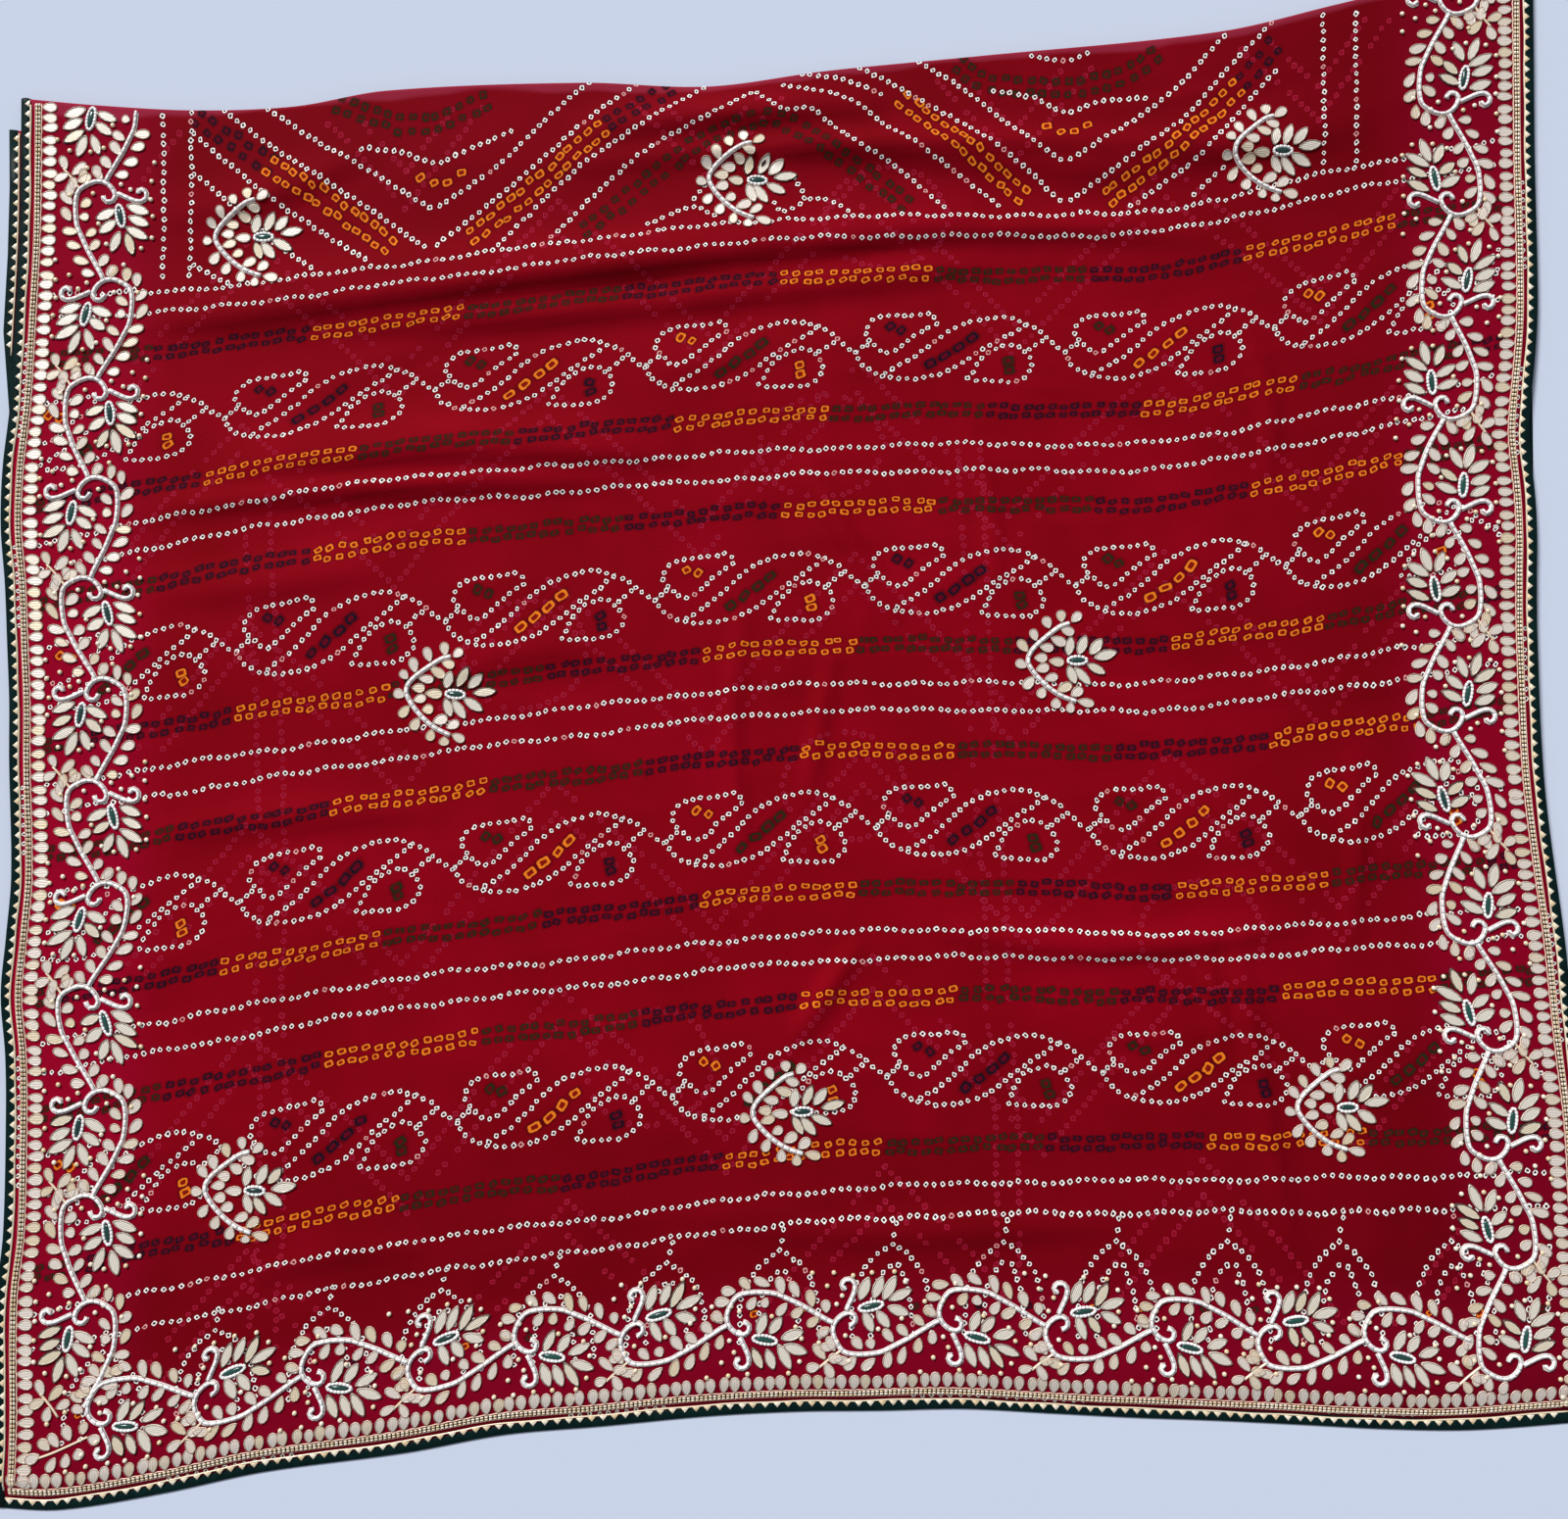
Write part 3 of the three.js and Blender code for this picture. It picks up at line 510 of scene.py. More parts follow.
wrinkle = addNode(
    tree, "TexNoise",
    {"noise_type": "RIDGED_MULTIFRACTAL", "Scale": 1.0, "Detail": 3.0, "Roughness": 0.5, "Distortion": 0.5},
    {"Vector": wrinkleWay},
)
wrinkleBump = addNode(tree, "Bump", {"Strength": 0.5, "Distance": 0.004}, {"Height": wrinkle})
crinkle = addNode(tree, "TexNoise", {"Scale": 0.55, "Detail": 4.0, "Roughness": 0.65}, {"Vector": flatMm})
crinkleBump = addNode(
    tree, "Bump", {"Strength": 0.35, "Distance": 0.0006}, {"Height": crinkle, "Normal": wrinkleBump},
)
surface = addNode(
    tree, "BsdfPrincipled",
    {"Roughness": 0.78, "Specular IOR Level": 0.04},
    {"Base Color": under, "Normal": crinkleBump},
)
addNode(tree, "OutputMaterial", {}, {"Surface": surface})
print("georgette made")

# The cloth as one closed sheet with its flat coordinates in metres.
acrossLines = np.linspace(cloth["inset"], cloth["width"] - cloth["inset"], cloth["columns"])
path = clothPath(acrossLines, cloth["inset"])
half = cloth["thickness"] / 2
points, faces = closedSheet(offsetPath(path, half), offsetPath(path, -half))
clothPiece = newPiece("bandhani_cloth", points, faces, [georgette])

# Flat length: arc length, held to the woven rows that were measured, then plain arc length.
pathRows = np.concatenate([[cloth["inset"]], frontRows[frontRows > cloth["inset"] + 2]])
steps = np.linalg.norm(np.diff(path, axis=0), axis=-1)
arc = np.concatenate([np.zeros((1, path.shape[1])), np.cumsum(steps, axis=0)])
flatV = np.zeros(arc.shape)
anchors = [0, *[int(np.argmin(abs(pathRows - row))) for row in grainRows], len(pathRows) - 1]
anchorRows = [cloth["inset"], *grainRows, pathRows[-1]]
for a in range(len(anchors) - 1):
    first, last = anchors[a], anchors[a + 1]
    part = (arc[first:last + 1] - arc[first]) / (arc[last] - arc[first])
    flatV[first:last + 1] = anchorRows[a] + (anchorRows[a + 1] - anchorRows[a]) * part
flatV[anchors[-1]:] = pathRows[-1] + arc[anchors[-1]:] - arc[anchors[-1]]
flatU = np.broadcast_to(acrossLines[None, :], flatV.shape)
flatAll = np.tile(np.stack([flatU, flatV], -1).reshape(-1, 2) * 0.001, (2, 1))
clothUv = clothPiece.data.uv_layers.new(name="flat")
clothUv.data.foreach_set("uv", flatAll[faces.reshape(-1)].astype(np.float32).reshape(-1))
print("cloth laid", len(faces), "faces, flat length", round(float(flatV[-1].mean())))


def smoothPath(points, step, closed=False):
    # Evenly spaced points and directions on a smooth curve through a few points.
    points = np.asarray(points, float)
    if closed:
        points = np.concatenate([points, points[:1]])
    keys = np.concatenate([[0], np.cumsum(np.linalg.norm(np.diff(points, axis=0), axis=1))])
    fineKeys = np.linspace(0, keys[-1], max(8, int(keys[-1] / 0.7)))
    line = np.stack([along(keys, points[:, 0], fineKeys), along(keys, points[:, 1], fineKeys)], -1)
    length = np.concatenate([[0], np.cumsum(np.linalg.norm(np.diff(line, axis=0), axis=1))])
    count = max(2, int(round(length[-1] / step)) + (0 if closed else 1))
    places = np.linspace(0, length[-1], count, endpoint=not closed)
    out = np.stack([np.interp(places, length, line[:, 0]), np.interp(places, length, line[:, 1])], -1)
    ahead = np.stack(
        [np.interp(places + 0.8, length, line[:, 0]), np.interp(places + 0.8, length, line[:, 1])], -1,
    )
    back = np.stack(
        [np.interp(places - 0.8, length, line[:, 0]), np.interp(places - 0.8, length, line[:, 1])], -1,
    )
    way = ahead - back
    return out, np.arctan2(way[:, 1], way[:, 0])


# The dye pattern. Each dot is across, up the cloth, turn, half length, half width and dye.
white, orange, green, navy, ghost, faint = 1, 2, 3, 4, 5, 6
dyeing = {
    "whitePitch": 6.0, "whiteSize": 1.56, "colourPitch": 8.8, "colourLong": 2.85, "colourShort": 2.05,
    "rowPeriod": 183.0, "segment": 114.5, "sideKeep": 27.0, "backStart": 1090, "backRepeats": 11,
}
dots = []


def addDots(places, turns, long, short, dye, shake=0.45):
    places = np.asarray(places, float)
    n = len(places)
    dye = np.broadcast_to(dye, n)
    places = places + rng.normal(0, shake, (n, 2)) * 0.7
    dots.append(np.column_stack([
        places, np.broadcast_to(turns, n) + rng.normal(0, 0.16, n),
        long * rng.uniform(0.86, 1.12, n), short * rng.uniform(0.86, 1.12, n), dye,
    ]))


def whiteLine(points, closed=False):
    places, ways = smoothPath(points, dyeing["whitePitch"], closed)
    keep = (places[:, 0] > dyeing["sideKeep"]) & (places[:, 0] < cloth["width"] - dyeing["sideKeep"])
    places, ways = places[keep], ways[keep]
    dye = np.where(rng.random(len(places)) < 0.04, faint, white)
    addDots(places, ways + math.pi / 4, dyeing["whiteSize"], dyeing["whiteSize"], dye)


def whiteRow(row, leftDrop=0.0):
    u = np.arange(dyeing["sideKeep"], cloth["width"] - dyeing["sideKeep"], dyeing["whitePitch"])
    row = row - leftDrop * (1 - smooth(100, 620, u))
    zigzag = 0.9 * np.sin(u / 7.0 + row) + 0.7 * np.sin(u / 23.0 + 2 * row)
    dye = np.where(rng.random(len(u)) < 0.03, faint, white)
    addDots(np.stack([u, row + zigzag], -1), math.pi / 4, dyeing["whiteSize"] * 1.04, dyeing["whiteSize"], dye)


def colourRow(row, orangeStart):
    cycle = (orange, green, navy)
    u = np.arange(dyeing["sideKeep"], cloth["width"] - dyeing["sideKeep"], dyeing["colourPitch"])
    turn = np.floor((u - orangeStart) / dyeing["segment"]).astype(int) % 3
    dye = np.array(cycle)[turn]
    for sideways in (-3.5, 3.5):
        wave = sideways + 1.0 * np.sin(u / 19.0 + row)
        addDots(
            np.stack([u + 1.5 * (sideways > 0), row + wave], -1), 0.1, dyeing["colourLong"],
            dyeing["colourShort"], dye, 0.9,
        )


# Paisley trail, one unit of the repeat: along from the joint and up, in millimetres.
trail = {
    "units": 8,
    "levels": [(773, 6, 153.6), (591, 15, 153.6), (410, 13, 154.5), (229, 14, 153.4)],  # row, start, pitch
    "lines": [
        [
            (0, 0), (3.6, -9), (12, -15.5), (22, -20), (33, -21.5), (45, -22), (57, -19.6), (69, -15.5),
            (79, -9.3), (88, -2.9), (97, 3.8), (106, 9.3), (115, 14.8), (123, 20.5),
        ],
        [
            (22, -17), (28, -13.6), (38, -8.1), (46, -1.7), (54, 4.5), (60.5, 11), (69, 17), (78.5, 21.7),
            (89, 24.4), (100, 26.3), (111.4, 26), (122.6, 21.7), (133, 16.3), (141, 8.6), (148.5, 1.8),
            (153, -1),
        ],
        [(0, 0), (4, 3.4), (8, 6)],
        [(136, 8.1), (131.4, 5), (126.6, 1)],
    ],
    "leaves": [
        [
            (13, 5), (8, 10.5), (5.7, 15), (6.3, 19.5), (10, 24.5), (17, 27.7), (27, 28.8), (38, 28.6),
            (47, 29.4), (53, 29.8), (58, 23), (49, 17), (40.6, 11), (33, 4), (25, -1), (18, 0),
        ],
        [
            (84, -22), (90, -24), (98, -24.3), (108, -25), (115, -25), (121, -23.5), (128, -17.7),
            (129.8, -12.9), (128.5, -7.6), (124.8, -2), (117.5, 3.6), (111, 4.1), (104, 2), (97, -1.7),
            (92, -7), (88.5, -13), (85.8, -18.5),
        ],
    ],
    "eight": [(112.3, -8.6), (113.6, -15.6)],
    "bud": [(23.4, 20.1), (31.8, 16.5)],
    "leaf": [(54.5, -10.5), (64.8, -4.1), (75, 2.6), (84, 10)],
}


def paisleyRow(row, start, pitch):
    for k in range(trail["units"]):
        origin = np.array([start + pitch * k, row])
        for line in trail["lines"]:
            whiteLine(np.array(line) + origin)
        for leaf in trail["leaves"]:
            whiteLine(np.array(leaf) + origin, True)
        eightDye, budDye, leafDye = ((orange, orange, green), (green, navy, navy), (navy, green, orange))[k % 3]
        for spots, dye, turn, long, short in (
            (trail["eight"], eightDye, 0.25, 3.7, 2.9),
            (trail["bud"], budDye, 0.75, 3.3, 2.9),
            (trail["leaf"], leafDye, 0.66, 4.3, 3.1),
        ):
            spots = np.array(spots) + origin
            keep = (spots[:, 0] > dyeing["sideKeep"]) & (spots[:, 0] < cloth["width"] - dyeing["sideKeep"])
            if keep.any():
                addDots(spots[keep], turn, long, short, dye, 0.4)


for k, row in enumerate((882, 699, 516, 333, 150)):
    whiteRow(row)
    whiteRow(row - (17.0 if k == 0 else 20.2), 6.0 if k == 4 else 0.0)
for row, orangeStart in (
    (834, 219), (726, 148), (652, 228), (545, 159), (466, 230), (364, 154), (285, 226), (178, 160),
):
    colourRow(row, orangeStart)
for row, start, pitch in trail["levels"]:
    paisleyRow(row, start, pitch)

# Chevrons below the top fold: across and up the cloth, a few places on each line.
chevrons = {
    "white": [
        [(105, 995), (107, 892)], [(126, 998), (127, 891)], [(964, 994), (964, 890)], [(988, 989), (988, 886)],
        [(150, 999), (225, 946), (300, 893)], [(309, 893), (373, 935), (420, 972), (455, 999)],
        [(183, 999), (242, 958), (303, 919)], [(310, 919), (352, 942), (392, 976), (420, 1000)],
        [(128, 984), (180, 943), (220, 914), (257, 889)], [(128, 958), (158, 935), (197, 902), (217, 889)],
        [(129, 898), (156, 884)], [(252, 963), (283, 957), (307, 948), (323, 953), (363, 966)],
        [(354, 887), (408, 933), (450, 960), (505, 998)],
        [(393, 888), (435, 925), (476, 955), (515, 975), (540, 989)],
        [(545, 988), (564, 970), (585, 968), (617, 940), (650, 918), (682, 889)],
        [(564, 992), (612, 975), (646, 948), (685, 919), (723, 890)], [(578, 999), (611, 990), (637, 978)],
        [(464, 889), (497, 900), (513, 891)], [(498, 907), (509, 922)],
        [(572, 916), (579, 898), (562, 889), (557, 897)],
        [(583, 898), (599, 896), (611, 887)],
        [(621, 999), (680, 962), (735, 922), (768, 893)],
        [(776, 893), (822, 921), (859, 942), (896, 975), (926, 998)],
        [(665, 999), (698, 976), (748, 934), (768, 920)], [(776, 920), (822, 945), (854, 964), (891, 996)],
        [(820, 887), (869, 913), (895, 935), (928, 963)], [(868, 889), (889, 903)],
        [(720, 973), (748, 967), (773, 955), (800, 961), (832, 960)], [(748, 996), (771, 991), (789, 994)],
    ],
    "pairs": [
        ([(185, 960), (233, 928), (273, 897)], orange), ([(131, 994), (185, 961)], navy),
        ([(336, 896), (384, 928), (430, 963)], orange), ([(436, 967), (479, 996)], navy),
        ([(236, 995), (275, 978), (304, 975), (344, 988)], green),
        (
            [(418, 891), (462, 921), (502, 951), (542, 965), (565, 960), (600, 935), (634, 908), (654, 892)],
            green,
        ),
        ([(654, 972), (695, 935), (740, 897)], orange), ([(804, 894), (851, 922), (900, 957)], orange),
        ([(905, 961), (928, 981)], navy), ([(695, 994), (712, 981), (777, 972), (820, 978), (839, 989)], green),
    ],
    "cups": [(296, 939), (306, 935), (316, 935), (326, 940), (759, 945), (769, 940), (779, 940), (789, 944)],
}


def colourPair(points, dye):
    places, ways = smoothPath(points, dyeing["colourPitch"] * (1.0 if dye == orange else 1.12))
    normal = np.stack([-np.sin(ways), np.cos(ways)], -1)
    for way in (-1, 1):
        addDots(places + normal * 4.6 * way, ways, 3.2 if dye == orange else 2.6, 2.3, dye, 1.0)


for line in chevrons["white"]:
    whiteLine(line)
for line, dye in chevrons["pairs"]:
    colourPair(line, dye)
addDots(chevrons["cups"], 0.3, 3.4, 2.4, orange, 0.5)

# The rest of the length, on the layers below: the same rows again and again.
for k in range(dyeing["backRepeats"]):
    row = dyeing["backStart"] + dyeing["rowPeriod"] * k
    for up in (0, 20):
        whiteRow(row + up)
    colourRow(row + 52, 200)
    colourRow(row + 157, 150)
    paisleyRow(row + 100, 10, 152.7)

# Dots of dye that show between the trims, here and there.
strays = {
    "side": ((240, 330), (470, 520), (640, 700), (780, 850)),
    "hem": ((120, 210), (400, 470), (640, 760), (930, 990)),
    "in": 9.3, "inHem": 9.5, "pitch": 6.6, "size": 1.4,
}
for low, high in strays["side"]:
    for across in (strays["in"], cloth["width"] - strays["in"]):
        rows = np.arange(low, high, strays["pitch"])
        spots = np.stack([np.full(len(rows), across), rows], -1)
        addDots(spots, math.pi / 4, strays["size"], strays["size"], white)
for low, high in strays["hem"]:
    columns = np.arange(low, high, strays["pitch"])
    spots = np.stack([columns, np.full(len(columns), strays["inHem"])], -1)
    addDots(spots, math.pi / 4, strays["size"], strays["size"], white)

# Pointed arches over the hem border: out from the middle of each, and the row.
arches = {
    "count": 14, "first": 74.8, "pitch": 78.8,
    "stem": [(3, 126), (0, 112)],
    "outer": [(5, 109), (13, 103), (21, 93), (26, 80), (28, 52)],
    "inner": [(8, 90), (12, 80), (15, 52)],
    "innerTip": (3, 97), "innerAside": 2,
    "spot": (17, 70),
}
for n in range(arches["count"]):
    centre = arches["first"] + arches["pitch"] * n
    whiteLine([(centre + out, row) for out, row in arches["stem"]])
    for way in (-1, 1):
        whiteLine([(centre + way * out, row) for out, row in arches["outer"]])
        out, row = arches["innerTip"]
        tip = (centre + arches["innerAside"] + way * out, row)
        whiteLine([tip] + [(centre + way * out, row) for out, row in arches["inner"]])
        out, row = arches["spot"]
        addDots([(centre + way * out, row)], 0.4, 2.6, 2.0, (orange, green, navy)[n % 3])

# The layer below shows through the sheer front as faint dots: slanted lines, upright ones and rings.
belowDots = {
    "pitch": 6.6, "size": 1.75, "kept": 0.85, "sides": (90, 1030), "rows": (60, 985),
    "zigzags": 7, "zigzagFoot": 70, "zigzagRise": 150, "zigzagTurn": 112.5,
    "uprights": (178, 196, 700, 716),
    "rings": ((380, 560), (610, 440), (600, 700), (640, 880), (860, 330), (460, 250)),
}


def ghostLine(points, closed=False):
    places, ways = smoothPath(points, belowDots["pitch"], closed)
    (left, right), (low, high) = belowDots["sides"], belowDots["rows"]
    keep = (places[:, 0] > left) & (places[:, 0] < right) & (places[:, 1] > low) & (places[:, 1] < high)
    keep &= rng.random(len(places)) < belowDots["kept"]
    addDots(places[keep], ways[keep] + math.pi / 4, belowDots["size"], belowDots["size"], ghost, 0.5)


for k in range(belowDots["zigzags"]):
    foot = belowDots["zigzagFoot"] + belowDots["zigzagRise"] * k
    for offset in (0, 24):
        bends = [(60 + belowDots["zigzagTurn"] * n, foot + offset + (70 if n % 2 else -50)) for n in range(10)]
        for first, last in zip(bends[:-1], bends[1:]):
            ghostLine([first, ((first[0] + last[0]) / 2, (first[1] + last[1]) / 2 + 3), last])
for across in belowDots["uprights"]:
    ghostLine([(across, 90), (across + 4, 400), (across, 700)])
for across, row in belowDots["rings"]:
    ghostLine([(across + 46 * math.cos(a), row + 40 * math.sin(a)) for a in np.linspace(0, 5.5, 8)], True)


def fillSlots():
    # Which dots each face of the sheet carries, nearest use first.
    allDots = np.concatenate(dots)
    rows, columns = flatV.shape[0] - 1, flatV.shape[1] - 1
    count = np.zeros((rows, columns), int)
    place = np.zeros((dotSlots, rows, columns, 3), np.float32)
    size = np.zeros((dotSlots, rows, columns, 3), np.float32)
    size[..., :2] = 1.0
    lost = 0
    for u, v, turn, long, short, dye in allDots:
        reach = math.hypot(long, short) * 1.05 + 0.5
        i0 = max(0, np.searchsorted(acrossLines, u - reach) - 1)
        i1 = min(columns, np.searchsorted(acrossLines, u + reach))
        for i in range(i0, i1):
            low = np.minimum(flatV[:, i], flatV[:, i + 1])
            high = np.maximum(flatV[:, i], flatV[:, i + 1])
            j0 = max(0, np.searchsorted(high, v - reach) - 1)
            j1 = min(rows, np.searchsorted(low, v + reach))
            for j in range(j0, j1):
                k = count[j, i]
                if k >= dotSlots:
                    lost += 1
                    continue
                place[k, j, i] = (u, v, turn)
                size[k, j, i] = (long, short, dye)
                count[j, i] = k + 1
    rim = len(faces) - 2 * rows * columns
    for k in range(dotSlots):
        for name, values in (("dotPlace", place), ("dotSize", size)):
            flat = values[k].reshape(-1, 3)
            flat = np.concatenate([flat, flat, np.tile(np.float32([0, 0, 0]), (rim, 1))])
            if name == "dotSize":
                flat[-rim:] = (1, 1, 0)
            layer = clothPiece.data.attributes.new(f"{name}{k}", "FLOAT_VECTOR", "FACE")
            layer.data.foreach_set("vector", flat.reshape(-1))
    print("dots", len(allDots), "left out of full faces", lost)


fillSlots()
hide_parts("folded_cloth")
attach(clothPiece, "root")

# Height of the face anywhere on the floor plan, for all that is sewn on it.
planGrid = {"x0": -606.0, "y0": -560.0, "step": 4.0, "columns": 304, "rows": 298}
gridX, gridY = np.meshgrid(
    planGrid["x0"] + planGrid["step"] * np.arange(planGrid["columns"]),
    planGrid["y0"] + planGrid["step"] * np.arange(planGrid["rows"]),
)
gridLeft, gridRight = edge(leftEdge, gridY), edge(rightEdge, gridY)
gridAcross = np.clip((gridX - gridLeft) / (gridRight - gridLeft), 0, 1) * cloth["width"]
lowRow, highRow = np.zeros(gridX.shape), np.full(gridX.shape, cloth["lastRow"])
for _ in range(13):
    middleRow = (lowRow + highRow) / 2
    short = rowY(gridAcross - cloth["width"] / 2, middleRow) < gridY
    lowRow, highRow = np.where(short, middleRow, lowRow), np.where(short, highRow, middleRow)
faceGrid = frontHeight(gridAcross, lowRow, gridX, gridY) + half


def groundAt(x, y):
    gx = np.clip((x - planGrid["x0"]) / planGrid["step"], 0, planGrid["columns"] - 1.001)
    gy = np.clip((y - planGrid["y0"]) / planGrid["step"], 0, planGrid["rows"] - 1.001)
    i, j = gx.astype(int), gy.astype(int)
    fx, fy = gx - i, gy - j
    low = faceGrid[j, i] * (1 - fx) + faceGrid[j, i + 1] * fx
    high = faceGrid[j + 1, i] * (1 - fx) + faceGrid[j + 1, i + 1] * fx
    return low * (1 - fy) + high * fy


def edgePlan(side):
    # Turns places t along one finished edge and w in from it into the floor plan.
    def leftPlan(t, w):
        return edge(leftEdge, cloth["leftTop"] - t) + w, cloth["leftTop"] - t

    def hemPlan(t, w):
        x = t - cloth["width"] / 2
        return x, edge(hemEdge, x) + w

    def rightPlan(t, w):
        y = cloth["rightFoot"] + t
        return edge(rightEdge, y) - w, y

    return {"left": leftPlan, "hem": hemPlan, "right": rightPlan}[side]


def beforeFold(place, points):
    x, y = place(points[..., 0], points[..., 1])
    return y < edge(foldEdge, x) - cloth["foldClear"]


# Shapes of what is sewn on: length along X from 0 to 1, width across from -0.5 to 0.5, height to 1.
gotaKind, threadKind, whiteKind, goldKind, eyeKind, petalKind, shadeKind, rimKind = range(8)


def ringFan(rings, kinds, sides):
    # Joins rings of points from the base to a middle point, with a closed bottom.
    points = np.concatenate([*rings[:-1], rings[-1][None, :]])
    faces, faceKinds = [], []
    for r in range(len(rings) - 2):
        for k in range(sides):
            a, b = r * sides + k, r * sides + (k + 1) % sides
            faces += [(a, b, b + sides), (a, b + sides, a + sides)]
            faceKinds += [kinds[r], kinds[r]]
    last, tip = (len(rings) - 2) * sides, len(points) - 1
    for k in range(sides):
        faces.append((last + k, last + (k + 1) % sides, tip))
        faceKinds.append(kinds[-1])
    for k in range(1, sides - 1):
        faces.append((0, k + 1, k))
        faceKinds.append(kinds[0])
    return {"points": points, "faces": np.array(faces), "kinds": np.array(faceKinds)}


def leafShape(sides, narrow, fill):
    # A gota leaf: a thread cord round a flat plate, narrow at its root or pointed at both ends.
    s = 2 * np.pi * np.arange(sides) / sides
    x = (1 - np.cos(s)) / 2
    y = np.sin(s) * np.sin(s / 2) ** 0.5 if narrow else np.sign(np.sin(s)) * abs(np.sin(s)) ** 1.45
    y = -y / abs(y).max() / 2
    middle = 0.56 if narrow else 0.5
    rings = []
    for scale, z in ((1.1, 0.0), (1.1, 0.2), (1.0, 0.3), (0.99, 0.92), (0.92, 1.0), (0.85, 0.76), (0.66, 0.78)):
        rings.append(np.stack(
            [middle + (x - middle) * (1 - (1 - scale) * 0.75), y * scale, np.full(sides, z)], -1,
        ))
    rings.append(np.array([middle, 0.0, 0.82]))
    rim = threadKind if narrow else rimKind
    # The rings outside the cord and the ring just inside it take the dark material: painted shade round the
    # leaf and in its groove.
    return ringFan(rings, (shadeKind, shadeKind, rim, rim, shadeKind, fill, fill), sides)


def bugleShape(kind, ends):
    # A glass tube bead lying down.
    turns = 2 * np.pi * np.arange(6) / 6
    points = []
    for x, r in ((0.0, ends), (0.12, 1.0), (0.88, 1.0), (1.0, ends)):
        points.append(np.stack([np.full(6, x), 0.5 * r * np.cos(turns), 0.5 + 0.5 * r * np.sin(turns)], -1))
    faces = []
    for r in range(3):
        for k in range(6):
            a, b = r * 6 + k, r * 6 + (k + 1) % 6
            faces += [(a, b + 6, b), (a, a + 6, b + 6)]
    for k in range(1, 5):
        faces += [(0, k, k + 1), (18, 18 + k + 1, 18 + k)]
    faces = np.array(faces)[:, ::-1]
    return {"points": np.concatenate(points), "faces": faces, "kinds": np.full(len(faces), kind)}


def roundShape(kind):
    turns = 2 * np.pi * np.arange(7) / 7
    rings = []
    for r, z in ((0.3, 0.0), (0.5, 0.35), (0.44, 0.72), (0.24, 0.94)):
        rings.append(np.stack([0.5 + r * np.cos(turns), r * np.sin(turns), np.full(7, z)], -1))
    rings.append(np.array([0.5, 0.0, 1.0]))
    return ringFan(rings, (kind,) * 4, 7)


def toothShape():
    rings = []
    for scale, z in ((1.0, 0.0), (0.8, 1.0)):
        corners = ((0, -0.5), (1, 0), (0, 0.5))
        rings.append(np.array([[0.33 + (x - 0.33) * scale, y * scale, z] for x, y in corners]))
    rings.append(np.array([0.33, 0.0, 1.0]))
    return ringFan(rings, (goldKind, goldKind), 3)


roundLeaf = leafShape(12, True, gotaKind)
pointedLeaf = leafShape(12, False, petalKind)
whiteBugle = bugleShape(whiteKind, 0.75)
goldBugle = bugleShape(goldKind, 0.7)
eyeBugle = bugleShape(eyeKind, 0.5)
goldRound = roundShape(goldKind)
tooth = toothShape()


def newWork():
    return {"points": [], "faces": [], "kinds": [], "flat": [], "tone": [], "count": 0}


def addToWork(work, points, faces, kinds, flat, tone):
    work["points"].append(points)
    work["faces"].append(faces + work["count"])
    work["kinds"].append(kinds)
    work["flat"].append(flat)
    work["tone"].append(tone)
    work["count"] += len(points)


def putItems(work, shape, start, end, width, height, place, above=-0.1, level=None):
    # One shape many times, each from its start to its end, laid on the cloth or at a level.
    start, end = np.atleast_2d(np.asarray(start, float)), np.atleast_2d(np.asarray(end, float))
    keep = beforeFold(place, start) & beforeFold(place, end)
    start, end = start[keep], end[keep]
    n = len(start)
    if n == 0:
        return
    width, height = (np.broadcast_to(v, len(keep))[keep] for v in (width, height))
    length = np.linalg.norm(end - start, axis=1)
    one = (end - start) / length[:, None]
    two = np.stack([-one[:, 1], one[:, 0]], -1)
    local = shape["points"]
    flat = np.stack([local[None, :, 0] * length[:, None], local[None, :, 1] * width[:, None]], -1)
    spot = start[:, None] + one[:, None] * flat[..., :1] + two[:, None] * flat[..., 1:]
    x, y = place(spot[..., 0], spot[..., 1])
    z = (groundAt(x, y) if level is None else level) + above + local[None, :, 2] * height[:, None]
    m, f = len(local), len(shape["faces"])
    faces = (shape["faces"][None] + (np.arange(n) * m)[:, None, None]).reshape(-1, 3)
    addToWork(
        work, np.stack([x, y, z], -1).reshape(-1, 3), faces, np.tile(shape["kinds"], n),
        flat.reshape(-1, 2), np.repeat(rng.random(n), f),
    )


